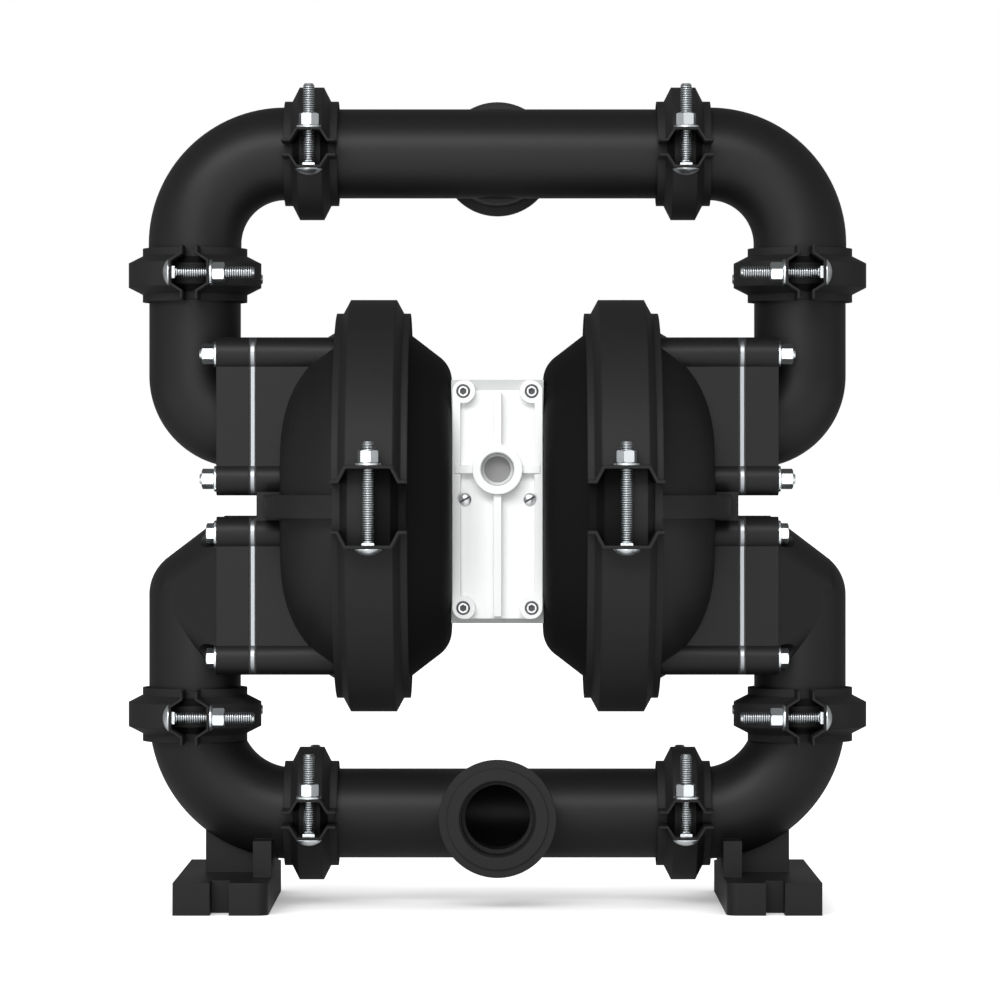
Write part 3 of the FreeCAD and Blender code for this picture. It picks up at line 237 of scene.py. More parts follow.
@dataclass(frozen=True)
class Finish:
    """One finish: its colour, how it shines and its grain."""

    name: str
    slot: str
    grain: Grain
    colour: Colour
    roughness: float
    metallic: float = 0.0
    spread: float = 0.06
    grain_size: float = 0.0012
    grain_depth: float = 0.00005
    grain_strength: float = 0.35
    edge_radius: float = 0.0008
    specular: float = 0.5
    # Share of the colour left in a thread's roots: painted shade
    groove_shade_share: float = 0.22

    def material(self) -> bpy.types.Material:
        """Build the finish.

        Returns:
            The material.
        """
        material = bpy.data.materials.new(self.name)
        tree = Tree(material)
        along = ROLLING_STRETCH if self.grain in (Grain.ROLLED, Grain.TURNED) else 1.0
        vector = tree.place((1.0, 1.0, along))
        coarse = tree.noise(vector, MOTTLE_GRAINS * self.grain_size, NOISE_LAYERS)
        fine = tree.noise(vector, self.grain_size, NOISE_LAYERS)
        if self.grain is Grain.POROUS:
            fine = 1.0 - tree.cells(vector, self.grain_size)
        darker = tuple(part * (1.0 - self.spread) for part in self.colour)
        lighter = tuple(min(1.0, part * (1.0 + self.spread)) for part in self.colour)
        mottle = 0.5 * coarse + 0.5 * fine
        colour = tree.blend(mottle, darker, lighter)
        # Painted shade: where the mesh marks a thread's roots, the plated colour is darkened towards a share of
        # itself
        if self.grain is Grain.PLATED:
            groove = tree.node("ShaderNodeAttribute", {"attribute_name": GROOVE_SHADE})
            groove_shade_colour = tuple(part * self.groove_shade_share for part in self.colour)
            colour = tree.blend(Value(tree, groove.outputs["Fac"]), colour, groove_shade_colour)
        rough = self.roughness * (1.0 - self.spread) + (2.0 * self.spread * self.roughness) * mottle
        edge = tree.node("ShaderNodeBevel", {"samples": BEVEL_SAMPLES}, {"Radius": self.edge_radius})
        bump = tree.node("ShaderNodeBump", {}, {
            "Strength": self.grain_strength, "Distance": self.grain_depth, "Height": fine,
            "Normal": edge.outputs["Normal"]})
        shader = tree.node("ShaderNodeBsdfPrincipled", {}, {
            "Base Color": colour, "Roughness": rough, "Metallic": self.metallic,
            "Specular IOR Level": self.specular, "Normal": bump.outputs["Normal"]})
        tree.node("ShaderNodeOutputMaterial", {}, {"Surface": shader.outputs["BSDF"]})
        material.diffuse_color = (*self.colour, 1.0)
        material.roughness = self.roughness
        material.metallic = self.metallic
        return material


class Finishes:
    """Every finish of the pump, each built once."""

    casting = Finish("black_powder_casting", "black_casting", Grain.POWDER, (0.0105, 0.0105, 0.0107), 0.45,
                     specular=0.20)
    # Darker, duller copy of the casting finish for the inner chambers: painted shade beside the white block
    inner_casting = Finish("black_casting_painted_shade", "black_casting", Grain.POWDER, (0.0065, 0.0065, 0.0067),
                           0.62, specular=0.06)
    band = Finish("black_pressed_band", "black_band", Grain.PRESSED, (0.0160, 0.0160, 0.0163), 0.58,
                  grain_size=0.0009, grain_strength=0.5, edge_radius=0.0018, specular=0.17)
    zinc = Finish("bright_zinc", "zinc_fastener", Grain.PLATED, (0.78, 0.82, 0.84), 0.32, metallic=1.0,
                  grain_depth=0.00002, edge_radius=0.0001)
    plate = Finish("seat_plate_steel", "seat_plate_steel", Grain.ROLLED, (0.34, 0.36, 0.38), 0.40,
                   metallic=1.0, grain_depth=0.00002, edge_radius=0.0002)
    cap_screw = Finish("cap_screw_steel", "cap_screw_steel", Grain.PLATED, (0.55, 0.56, 0.57), 0.34,
                       metallic=1.0, grain_depth=0.00002, edge_radius=0.0003)
    # Black for the pieces that paint shade round and in the cover screws
    painted_shade_black = Finish("black_painted_shade", "cap_screw_steel", Grain.PLATED, (0.085, 0.085, 0.088), 0.55,
                   grain_depth=0.00002, edge_radius=0.0002, specular=0.3)
    screen = Finish("inlet_gauze", "grey_plastic", Grain.POROUS, (0.24, 0.24, 0.24), 0.80, grain_size=0.0005,
                    grain_depth=0.0001, grain_strength=0.4)
    rubber = Finish("black_rubber", "rubber_black", Grain.RUBBER, (0.018, 0.018, 0.018), 0.75)
    gasket = Finish("sheet_gasket", "gasket_sheet", Grain.RUBBER, (0.030, 0.030, 0.030), 0.80)
    white = Finish("white_moulding", "white_plastic", Grain.MOULDED, (0.90, 0.91, 0.91), 0.42, spread=0.02,
                   grain_size=0.0006, grain_strength=0.15, edge_radius=0.0008)
    # Darker copy of the white moulding for the centre block and the inlet's rim: painted shade on these
    # set-back faces
    block = Finish("white_moulding_painted_shade", "white_plastic", Grain.MOULDED, (0.55, 0.56, 0.56), 0.50,
                   spread=0.02, grain_size=0.0006, grain_strength=0.15, edge_radius=0.0008)
    muffler = Finish("grey_beads", "grey_plastic", Grain.POROUS, (0.38, 0.39, 0.40), 0.80, grain_size=0.0011,
                     grain_depth=0.0003, grain_strength=0.8)
    bronze = Finish("bushing_bronze", "bushing_bronze", Grain.TURNED, (0.55, 0.38, 0.16), 0.35, metallic=1.0)
    aluminium = Finish("turned_aluminium", "valve_aluminium", Grain.TURNED, (0.62, 0.63, 0.65), 0.30,
                       metallic=1.0)

    def __init__(self) -> None:
        """Start with no material built."""
        self.made: Dict[str, bpy.types.Material] = {}

    def dress(self, piece: bpy.types.Object, finish: Finish) -> None:
        """Put a finish on a piece, in place of what it has.

        Args:
            piece: the piece or CAD node.
            finish: its finish.
        """
        if finish.name not in self.made:
            self.made[finish.name] = finish.material()
        piece.data.materials.clear()
        piece.data.materials.append(self.made[finish.name])


# Modelling by hand


class Bench:
    """The workbench: Blender's own modelling operators with nothing else selected."""

    @staticmethod
    def clear() -> None:
        """Deselect everything."""
        if bpy.context.object is not None and bpy.context.object.mode != "OBJECT":
            bpy.ops.object.mode_set(mode="OBJECT")
        bpy.ops.object.select_all(action="DESELECT")

    @staticmethod
    def take(piece: bpy.types.Object) -> None:
        """Select one piece alone and make it active."""
        Bench.clear()
        piece.select_set(True)
        bpy.context.view_layer.objects.active = piece

    @staticmethod
    def spun(name: str, profile: Sequence[Point], steps: int) -> bpy.types.Object:
        """Turn a closed profile about the Z axis, from one vertex drawn out point by point.

        Args:
            name: the piece's name.
            profile: (radius, height) points.
            steps: how many faces go round.

        Returns:
            The turned piece.
        """
        Bench.clear()
        bpy.ops.mesh.primitive_plane_add(size=0.001, location=(0.0, 0.0, 0.0))
        piece = bpy.context.object
        piece.name = name
        bpy.ops.object.mode_set(mode="EDIT")
        bpy.ops.mesh.select_all(action="SELECT")
        bpy.ops.mesh.merge(type="CENTER")
        radius, height = profile[0]
        bpy.ops.transform.translate(value=(radius, 0.0, height))
        for here, there in zip(profile, profile[1:]):
            step = (there[0] - here[0], 0.0, there[1] - here[1])
            bpy.ops.mesh.extrude_vertices_move(TRANSFORM_OT_translate={"value": step})
        bpy.ops.mesh.select_all(action="SELECT")
        bpy.ops.mesh.spin(steps=steps, angle=2.0 * math.pi, center=(0.0, 0.0, 0.0), axis=(0.0, 0.0, 1.0))
        Bench.tidy()
        return piece

    @staticmethod
    def tidy() -> None:
        """Merge doubles, turn the faces outwards and leave edit mode."""
        bpy.ops.mesh.select_all(action="SELECT")
        bpy.ops.mesh.remove_doubles(threshold=WELD)
        bpy.ops.mesh.dissolve_degenerate(threshold=SLIVER)
        bpy.ops.mesh.normals_make_consistent(inside=False)
        bpy.ops.object.mode_set(mode="OBJECT")

    @staticmethod
    def prism(name: str, radius: float, bottom: float, top: float, sides: int, turn: float = 0.0,
              taper: float = 1.0) -> bpy.types.Object:
        """Prism or cylinder on the Z axis.

        Args:
            name: the piece's name.
            radius: to its corners.
            bottom: height of its lower face.
            top: height of its upper face.
            sides: number of sides.
            turn: turn about Z in radians.
            taper: the upper face's size as a share of the lower one's.

        Returns:
            The prism.
        """
        Bench.clear()
        bpy.ops.mesh.primitive_cone_add(
            vertices=sides, radius1=radius, radius2=radius * taper, depth=top - bottom,
            location=(0.0, 0.0, (top + bottom) / 2.0), rotation=(0.0, 0.0, turn))
        piece = bpy.context.object
        piece.name = name
        bpy.ops.object.transform_apply(location=True, rotation=True, scale=True)
        return piece

    @staticmethod
    def slab(name: str, height: float, size: Tuple[float, float, float]) -> bpy.types.Object:
        """Block whose middle is on the Z axis.

        Args:
            name: the piece's name.
            height: of its middle.
            size: along each axis.

        Returns:
            The block.
        """
        Bench.clear()
        bpy.ops.mesh.primitive_cube_add(size=1.0, location=(0.0, 0.0, height))
        piece = bpy.context.object
        piece.name = name
        piece.scale = size
        bpy.ops.object.transform_apply(location=True, rotation=True, scale=True)
        return piece

    @staticmethod
    def combine(piece: bpy.types.Object, tool: bpy.types.Object, operation: str) -> None:
        """Apply a boolean and throw the tool away.

        Args:
            piece: the piece that stays.
            tool: the piece that is used up.
            operation: INTERSECT, DIFFERENCE or UNION.
        """
        Bench.take(piece)
        modifier = piece.modifiers.new("fit", "BOOLEAN")
        modifier.operation = operation
        modifier.object = tool
        modifier.solver = "EXACT"
        bpy.ops.object.modifier_apply(modifier=modifier.name)
        bpy.data.objects.remove(tool, do_unlink=True)

    @staticmethod
    def joined(name: str, pieces: Sequence[bpy.types.Object]) -> bpy.types.Object:
        """Join pieces into one.

        Args:
            name: the name of the whole.
            pieces: the pieces, of which the first stays.

        Returns:
            The whole.
        """
        Bench.take(pieces[0])
        for piece in pieces[1:]:
            piece.select_set(True)
        bpy.ops.object.join()
        pieces[0].name = name
        return pieces[0]

    @staticmethod
    def smooth(piece: bpy.types.Object, degrees: float) -> None:
        """Shade a piece smooth where its faces meet at less than an angle.

        Args:
            piece: the piece.
            degrees: the angle past which an edge stays sharp.
        """
        Bench.take(piece)
        bpy.ops.object.shade_smooth_by_angle(angle=math.radians(degrees))

    @staticmethod
    def copy(model: bpy.types.Object, name: str, place: Matrix) -> bpy.types.Object:
        """Copy a model with its own mesh, set in place.

        Args:
            model: what is copied.
            name: the copy's name.
            place: where it goes.

        Returns:
            The copy, whose object sits at the origin.
        """
        made = model.copy()
        made.data = model.data.copy()
        made.name = name
        made.data.transform(place)
        if place.determinant() < 0.0:
            made.data.flip_normals()
        bpy.context.scene.collection.objects.link(made)
        return made


def standing(origin: Vector, along: Vector) -> Matrix:
    """Matrix that stands a model on a point, with its Z axis along a direction.

    Args:
        origin: the point.
        along: the direction.

    Returns:
        The matrix.
    """
    return Matrix.Translation(origin) @ along.to_track_quat("Z", "Y").to_matrix().to_4x4()


def middle(node: str) -> Vector:
    """Middle of a CAD node's box."""
    low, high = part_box(node)
    return (low + high) / 2.0


# Fasteners


@dataclass
class FastenerModels:
    """Models of the three eighths inch fasteners, made once and copied to each place.

    The pitch, the nut's height and the washer's thickness are larger than the real ones, to look as they do
    in the picture. A thread is a row of closed ridges. The field ridge gives where one rises, is full, falls
    and ends, in shares of the pitch.
    """

    thread_radius: float = 0.00476
    root_radius: float = 0.00375
    pitch: float = 0.00180
    ridge: Tuple[float, ...] = (0.10, 0.44, 0.60, 0.94)
    shoulder_share: float = 0.97
    tip_share: float = 0.93
    inner_tip_share: float = 0.95
    nut_flats: float = 0.0143
    nut_height: float = 0.0100
    nut_sink: float = 0.0006
    nut_turn: float = math.radians(16.0)
    corner_room: float = 1.02
    face_share: float = 0.97
    corner_slope: float = math.radians(30.0)
    washer_radius: float = 0.0104
    washer_hole: float = 0.0052
    washer_thickness: float = 0.0020
    washer_edge: float = 0.0002
    head_radius: float = 0.0107
    head_height: float = 0.0055
    head_rim: float = 0.0009
    head_edge: Point = (0.0004, 0.0003)
    neck: float = 0.0096
    neck_length: float = 0.0042
    neck_chamfer: float = 0.0014
    neck_taper: float = 0.6
    hex_head_height: float = 0.0064
    hex_head_overlap: float = 0.001
    dome_steps: int = 10
    steps: int = 24
    head_steps: int = 40
    round_steps: int = 48

    def threaded_rod(self, name: str, start: float, tip: float, chamfers: bool = False) -> bpy.types.Object:
        """Rod with a thread's ridges along it and a chamfered tip.

        Args:
            name: the rod's name.
            start: height of its lower end.
            tip: height of its upper end.
            chamfers: whether the lower end is chamfered too.

        Returns:
            The rod.
        """
        chamfer = self.pitch
        turns = int((tip - start - 2.0 * chamfer) / self.pitch)
        first = tip - chamfer - turns * self.pitch
        inner_tip = self.root_radius * self.inner_tip_share if chamfers else self.root_radius
        radii = (self.root_radius, self.thread_radius, self.thread_radius, self.root_radius)
        profile: List[Point] = [(0.0, start), (inner_tip, start)]
        for turn in range(turns):
            foot = first + turn * self.pitch
            profile += [(radius, foot + share * self.pitch) for radius, share in zip(radii, self.ridge)]
        profile += [(self.thread_radius * self.shoulder_share, tip - chamfer),
                    (self.root_radius * self.tip_share, tip), (0.0, tip)]
        rod = Bench.spun(name, profile, self.steps)
        # Mark the thread's roots, where the plated finish paints shade
        middle_radius = (self.root_radius + self.thread_radius) / 2.0
        groove_shade_mask = []
        for vertex in rod.data.vertices:
            inside = math.hypot(vertex.co.x, vertex.co.y) < middle_radius
            groove_shade_mask.append(1.0 if inside and first < vertex.co.z < tip - chamfer else 0.0)
        rod.data.attributes.new(GROOVE_SHADE, "FLOAT", "POINT").data.foreach_set("value", groove_shade_mask)
        Bench.smooth(rod, THREAD_ANGLE)
        return rod

    def hexagonal(self, name: str, bottom: float, top: float, both_ends: bool) -> bpy.types.Object:
        """Hexagon whose corners are turned off at the top, or at both ends.

        Args:
            name: the piece's name.
            bottom: height of its lower face.
            top: height of its upper face.
            both_ends: whether the lower corners are turned off too.

        Returns:
            The hexagon.
        """
        corner = self.nut_flats / math.sqrt(3.0)
        outer = corner * self.corner_room
        face = self.nut_flats / 2.0 * self.face_share
        drop = (outer - face) * math.tan(self.corner_slope)
        low = [(0.0, bottom), (face, bottom), (outer, bottom + drop)]
        if not both_ends:
            low = [(0.0, bottom), (outer, bottom)]
        profile = low + [(outer, top - drop), (face, top), (0.0, top)]
        hexagon = Bench.prism(name, corner, bottom, top, 6)
        Bench.combine(hexagon, Bench.spun("turning", profile, self.round_steps), "INTERSECT")
        return hexagon

    def nut(self) -> bpy.types.Object:
        """Hex nut standing on the origin."""
        radius, top, sink = self.thread_radius, self.nut_height, self.nut_sink
        nut = self.hexagonal("nut_model", 0.0, top, True)
        mouth = radius + 2.0 * sink
        bore = [(0.0, -sink), (mouth, -sink), (radius, sink), (radius, top - sink), (mouth, top + sink),
                (0.0, top + sink)]
        Bench.combine(nut, Bench.spun("tap", bore, self.steps), "DIFFERENCE")
        Bench.smooth(nut, HEXAGON_ANGLE)
        return nut

    def washer(self) -> bpy.types.Object:
        """Flat washer with broken edges, standing on the origin."""
        outer, inner = self.washer_radius, self.washer_hole
        top, edge = self.washer_thickness, self.washer_edge
        profile = [(inner, 0.0), (outer - edge, 0.0), (outer, edge), (outer, top - 2.0 * edge),
                   (outer - 2.0 * edge, top), (inner + edge, top), (inner, top - edge), (inner, 0.0)]
        washer = Bench.spun("washer_model", profile, self.round_steps)
        Bench.smooth(washer, ROUND_ANGLE)
        return washer

    def carriage_bolt(self, under_head: float, tip: float) -> bpy.types.Object:
        """Carriage bolt along +Z: low round head, square neck and threaded shank.

        Args:
            under_head: height of the head's underside.
            tip: height of the shank's tip.

        Returns:
            The bolt.
        """
        crown = under_head - self.head_height
        rim = self.head_radius
        dome: List[Point] = [(0.0, crown)]
        rise = self.head_height - self.head_rim
        sphere = (rim * rim + rise * rise) / (2.0 * rise)
        widest = math.asin(rim / sphere)
        for step in range(1, self.dome_steps + 1):
            angle = widest * step / self.dome_steps
            dome.append((sphere * math.sin(angle), crown + sphere * (1.0 - math.cos(angle))))
        inset, lift = self.head_edge
        dome += [(rim, under_head - lift), (rim - inset, under_head), (0.0, under_head)]
        head = Bench.spun("head", dome, self.head_steps)
        Bench.smooth(head, ROUND_ANGLE)
        half = self.neck / math.sqrt(2.0)
        shoulder = under_head + self.neck_length
        neck = Bench.prism("neck", half, under_head, shoulder, 4, math.pi / 4.0)
        slope = Bench.prism("slope", half, shoulder, shoulder + self.neck_chamfer, 4, math.pi / 4.0,
                            self.neck_taper)
        rod = self.threaded_rod("rod", under_head, tip)
        return Bench.joined("carriage_bolt_model", [rod, head, neck, slope])

    def hex_bolt(self, seat: float, end: float) -> bpy.types.Object:
        """Hex head bolt along +Z: the shank ends at the head's seat.

        Args:
            seat: height of the head's underside.
            end: height of the shank's lower end.

        Returns:
            The bolt.
        """
        head = self.hexagonal("hex_head", seat, seat + self.hex_head_height, False)
        Bench.smooth(head, HEXAGON_ANGLE)
        rod = self.threaded_rod("rod", end, seat + self.hex_head_overlap)
        return Bench.joined("hex_bolt_model", [rod, head])


@dataclass(frozen=True)
class BandSizes:
    """Where the fasteners of a clamp sit, about the clamp's axis."""

    bolt_offset: float
    ear_crown: float
    bolt_tip: float


PIPE_BAND = BandSizes(bolt_offset=0.065, ear_crown=0.0162, bolt_tip=0.052)
CHAMBER_BAND = BandSizes(bolt_offset=0.1765, ear_crown=0.0325, bolt_tip=0.0513)


@dataclass
class ClampFasteners:
    """Carriage bolts, nuts and washers of all the clamps."""

    finishes: Finishes
    models: FastenerModels
    pipe: BandSizes = PIPE_BAND
    chamber: BandSizes = CHAMBER_BAND

    def clamp_places(self) -> List[Tuple[str, Matrix]]:
        """Name and place of each pipe clamp, with its bolts along the matrix's Z axis.

        Returns:
            The list.
        """
        places = []
        for side, sign in (("left", -1.0), ("right", 1.0)):
            for joint in ("discharge_manifold", "discharge_leg", "suction_leg", "suction_manifold"):
                name = f"{joint}_clamp_{side}"
                inward = Vector((-sign, 0.0, 0.0)) if "leg" in joint else Vector((0.0, 0.0, 1.0))
                turn = inward.rotation_difference(Vector((0.0, 0.0, 1.0))).inverted().to_matrix().to_4x4()
                places.append((name, Matrix.Translation(middle(name)) @ turn))
        return places

    def turn_of(self, name: str) -> float:
        """How a clamp's nuts are turned about their bolts.

        Args:
            name: the clamp's name.

        Returns:
            The angle in radians.
        """
        side = 1.0 if name.endswith("left") else -1.0
        return self.models.nut_turn * (-side if "leg" in name else side)

    def set_out(self, kind: str, band: BandSizes, places: Sequence[Tuple[str, Matrix]]) -> None:
        """Copy bolts, nuts and washers to both ears of each clamp.

        Args:
            kind: the first word of the CAD nodes that they stand for.
            band: the clamp's sizes.
            places: name and place of each clamp.
        """
        bolt = self.models.carriage_bolt(-band.ear_crown, band.bolt_tip)
        nut, washer = self.models.nut(), self.models.washer()
        lifts = {"bolts": (bolt, 0.0), "washers": (washer, band.ear_crown),
                 "nuts": (nut, band.ear_crown + self.models.washer_thickness)}
        for name, place in places:
            for end, depth in (("front", -1.0), ("back", 1.0)):
                for group, (model, lift) in lifts.items():
                    spot = place @ Matrix.Translation((0.0, depth * band.bolt_offset, lift))
                    if group == "nuts":
                        spot = spot @ Matrix.Rotation(self.turn_of(name), 4, "Z")
                    piece = Bench.copy(model, f"{name}_{end}_{group[:-1]}", spot)
                    self.finishes.dress(piece, Finishes.zinc)
                    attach(piece, "root")
                    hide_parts(f"{kind}_clamp_{group}")
        for model in (bolt, nut, washer):
            bpy.data.objects.remove(model, do_unlink=True)
        LOG.info("%s clamps: %d sets of fasteners", kind, 2 * len(places))

    def build(self) -> None:
        """Set out the fasteners of the pipe and the chamber clamps."""
        self.set_out("pipe", self.pipe, self.clamp_places())
        names = ("chamber_clamp_left", "chamber_clamp_right")
        self.set_out("chamber", self.chamber, [(name, Matrix.Translation(middle(name))) for name in names])


@dataclass
class FlangeFasteners:
    """Studs and nuts of the upper valve flanges, hex bolts of the lower ones, and their washers."""

    finishes: Finishes
    models: FastenerModels
    spacing: float = 0.0505
    frame_washer: float = 0.0016
    inner_end: float = 0.1755

    def build(self) -> None:
        """Set out every flange fastener."""
        washers_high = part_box("flange_washers")[1]
        gasket_low, gasket_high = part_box("valve_gaskets")
        studs_low, studs_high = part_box("flange_studs")
        bolts_low, bolts_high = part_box("flange_bolts")
        back = washers_high.x - self.frame_washer
        seat_x = back + self.models.washer_thickness
        stud = self.models.threaded_rod("stud_model", self.inner_end, studs_high.x, True)
        bolt = self.models.hex_bolt(seat_x, self.inner_end)
        nut, washer = self.models.nut(), self.models.washer()
        upper_z = (studs_low.z + studs_high.z) / 2.0
        lower_z = (bolts_low.z + bolts_high.z) / 2.0
        for side, sign in (("left", -1.0), ("right", 1.0)):
            outward = Vector((sign, 0.0, 0.0))
            for row, y in (("front", -self.spacing), ("back", self.spacing)):
                for level, rise in (("low", -self.spacing), ("high", self.spacing)):
                    upper = Vector((0.0, y, upper_z + rise))
                    lower = Vector((0.0, y, lower_z + rise))
                    seat = outward * seat_x
                    spots = [
                        (stud, "flange_stud", "flange_studs", upper),
                        (washer, "upper_washer", "flange_washers", upper + outward * back),
                        (nut, "flange_nut", "flange_nuts", upper + seat),
                        (bolt, "flange_bolt", "flange_bolts", lower),
                        (washer, "lower_washer", "flange_washers", lower + outward * back)]
                    for model, name, node, spot in spots:
                        piece = Bench.copy(model, f"{name}_{side}_{row}_{level}", standing(spot, outward))
                        self.finishes.dress(piece, Finishes.zinc)
                        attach(piece, "root")
                        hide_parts(node)
        for model in (stud, bolt, nut, washer):
            bpy.data.objects.remove(model, do_unlink=True)
        LOG.info("flange fasteners set out, gaskets from %.3f to %.3f", gasket_low.x, gasket_high.x)


@dataclass
class CoverFasteners:
    """Socket head screws of both covers, the front cover's slotted screws and the inlet's gauze, with dark
    pieces that paint the shade round and in the screws.
    """

    finishes: Finishes
    across: float = 0.02755
    low: float = 0.2436
    high: float = 0.4180
    seat: float = 0.068
    head_radius: float = 0.0043
    head_height: float = 0.0050
    head_chamfer: float = 0.0004
    # Dark ring round each head: painted shade in the gap between the head and its bore
    ring_radius: float = 0.0054
    ring_height: float = 0.0040
    socket_corner: float = 0.0029
    socket_depth: float = 0.0030
    shank_radius: float = 0.0030
    shank_length: float = 0.0180
    slotted_across: float = 0.0261
    slotted_height: float = 0.3310
    slotted_seat: float = 0.065
    slotted_radius: float = 0.0051
    slotted_rim: float = 0.0012
    slotted_crown: float = 0.0030
    slot_width: float = 0.0015
    slot_depth: float = 0.0017
    slot_run: float = 3.0
    slot_turn: float = math.radians(28.0)
    # Dark floors in the sockets and slots: painted shade
    floor_share: float = 0.98
    floor_thickness: float = 0.0012
    slot_floor_run: float = 1.9
    overrun: float = 0.001
    crown_steps: int = 8
    steps: int = 32
    gauze_steps: int = 48
    gauze_radius: float = 0.0106
    gauze_rim: float = 0.0130
    gauze_thickness: float = 0.0005
    gauze_place: Tuple[float, float, float] = (0.0, -0.0621, 0.3552)

    def socket_screw(self) -> bpy.types.Object:
        """Socket head screw along +Z with its seat on the origin."""
        radius, top, edge = self.head_radius, self.head_height, self.head_chamfer
        profile = [(0.0, -self.shank_length), (self.shank_radius, -self.shank_length),
                   (self.shank_radius, 0.0), (radius, 0.0), (radius, top - edge), (radius - edge, top),
                   (0.0, top)]
        screw = Bench.spun("socket_screw_model", profile, self.steps)
        socket = Bench.prism("socket", self.socket_corner, top - self.socket_depth, top + self.overrun, 6)
        Bench.combine(screw, socket, "DIFFERENCE")
        Bench.smooth(screw, SCREW_ANGLE)
        return screw

    def painted_shade_ring(self) -> bpy.types.Object:
        """Dark ring round a screw's head, with a dark floor in its socket: painted shade in the gap round the
        head and in the socket.
        """
        inner, outer, top = self.head_radius, self.ring_radius, self.ring_height
        profile = [(inner, 0.0), (outer, 0.0), (outer, top), (inner, top), (inner, 0.0)]
        ring = Bench.spun("ring", profile, self.steps)
        foot = self.head_height - self.socket_depth
        floor = Bench.prism("socket_floor", self.socket_corner * self.floor_share, foot,
                            foot + self.floor_thickness, 6)
        whole = Bench.joined("dark_ring_model", [ring, floor])
        Bench.smooth(whole, SCREW_ANGLE)
        return whole

    def slotted_screw(self) -> bpy.types.Object:
        """Slotted screw with an oval head along +Z, its seat on the origin."""
        radius, rim = self.slotted_radius, self.slotted_rim
        rise = self.slotted_crown - rim
        sphere = (radius * radius + rise * rise) / (2.0 * rise)
        widest = math.asin(radius / sphere)
        profile: List[Point] = [(0.0, -self.shank_length), (self.shank_radius, -self.shank_length),
                                (self.shank_radius, 0.0), (radius, 0.0)]
        for step in range(self.crown_steps + 1):
            angle = widest * (self.crown_steps - step) / self.crown_steps
            profile.append((sphere * math.sin(angle), self.slotted_crown - sphere * (1.0 - math.cos(angle))))
        screw = Bench.spun("slotted_screw_model", profile, self.steps)
        slot = Bench.slab("slot", self.slotted_crown,
                          (self.slot_run * radius, self.slot_width, 2.0 * self.slot_depth))
        Bench.combine(screw, slot, "DIFFERENCE")
        Bench.smooth(screw, SCREW_ANGLE)
        return screw

    def slot_floor(self) -> bpy.types.Object:
        """Dark slab at the bottom of the slot, painted shade, for a slotted screw that stands on the origin."""
        size = (self.slot_floor_run * self.slotted_radius, self.slot_width * self.floor_share,
                self.slot_width / 3.0)
        return Bench.slab("slot_floor_model", self.slotted_crown - self.slot_depth, size)

    def put(self, piece: bpy.types.Object, finish: Finish, node: Optional[str] = None) -> None:
        """Dress a piece, fix it to the pump and hide the node that it stands for.

        Args:
            piece: the piece.
            finish: its finish.
            node: the CAD node, if there is one.
        """
        self.finishes.dress(piece, finish)
        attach(piece, "root")
        if node:
            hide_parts(node)

    def build(self) -> None:
        """Set out the covers' screws and the gauze."""
        screw, ring = self.socket_screw(), self.painted_shade_ring()
        slotted, floor = self.slotted_screw(), self.slot_floor()
        for face, sign in (("front", -1.0), ("back", 1.0)):
            outward = Vector((0.0, sign, 0.0))
            for side, x in (("left", -self.across), ("right", self.across)):
                for level, z in (("low", self.low), ("high", self.high)):
                    place = standing(Vector((x, sign * self.seat, z)), outward)
                    end = f"{face}_{side}_{level}"
                    head = Bench.copy(screw, f"cover_screw_{end}", place)
                    self.put(head, Finishes.cap_screw, "cover_screws")
                    # Dark ring and socket floor: painted shade round the head and in the socket
                    collar = Bench.copy(ring, f"cover_screw_ring_{end}", place)
                    self.put(collar, Finishes.painted_shade_black, "cover_screws")
        for side, x in (("left", -self.slotted_across), ("right", self.slotted_across)):
            place = Matrix.Translation((x, -self.slotted_seat, self.slotted_height))
            place = place @ Matrix.Rotation(-self.slot_turn, 4, "Y") @ Matrix.Rotation(math.pi / 2.0, 4, "X")
            head = Bench.copy(slotted, f"slotted_screw_{side}", place)
            self.put(head, Finishes.cap_screw, "slotted_screws")
            # Dark slab in the slot: painted shade
            bottom = Bench.copy(floor, f"slot_floor_{side}", place)
            self.put(bottom, Finishes.painted_shade_black, "slotted_screws")
        inner, outer, thick = self.gauze_radius, self.gauze_rim, self.gauze_thickness
        gauze = Bench.prism("inlet_gauze", inner, 0.0, thick, self.gauze_steps)
        profile = [(inner, 0.0), (outer, 0.0), (outer, 2.0 * thick), (inner, 2.0 * thick), (inner, 0.0)]
        rim = Bench.spun("inlet_gauze_rim", profile, self.gauze_steps)
        # The gauze's rim takes the darker white: painted shade in the inlet
        for piece, finish in ((gauze, Finishes.screen), (rim, Finishes.block)):
            piece.data.transform(standing(Vector(self.gauze_place), Vector((0.0, -1.0, 0.0))))
            Bench.smooth(piece, SCREW_ANGLE)
            self.put(piece, finish)
        for model in (screw, ring, slotted, floor):
            bpy.data.objects.remove(model, do_unlink=True)
        LOG.info("cover screws and inlet gauze set out")


@dataclass
class Diaphragms:
    """Rubber diaphragms, copied from their CAD nodes and shaded smooth."""

    finishes: Finishes
    bead_side: float = 0.1045
    plate_side: float = 0.1085

    def build(self) -> None:
        """Copy each diaphragm's mesh, tidy it, shade it smooth and dress it in rubber."""
        for side, sign in (("left", -1.0), ("right", 1.0)):
            node = f"diaphragm_{side}"
            piece = bpy.data.objects.new(f"{node}_web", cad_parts[node].data.copy())
            bpy.context.scene.collection.objects.link(piece)
            Bench.take(piece)
            bpy.ops.object.mode_set(mode="EDIT")
            Bench.tidy()
            Bench.smooth(piece, RUBBER_ANGLE)
            self.finishes.dress(piece, Finishes.rubber)
            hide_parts(node)
            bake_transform(piece)
        LOG.info("diaphragms bend with the rod")


# CAD nodes shown as they are


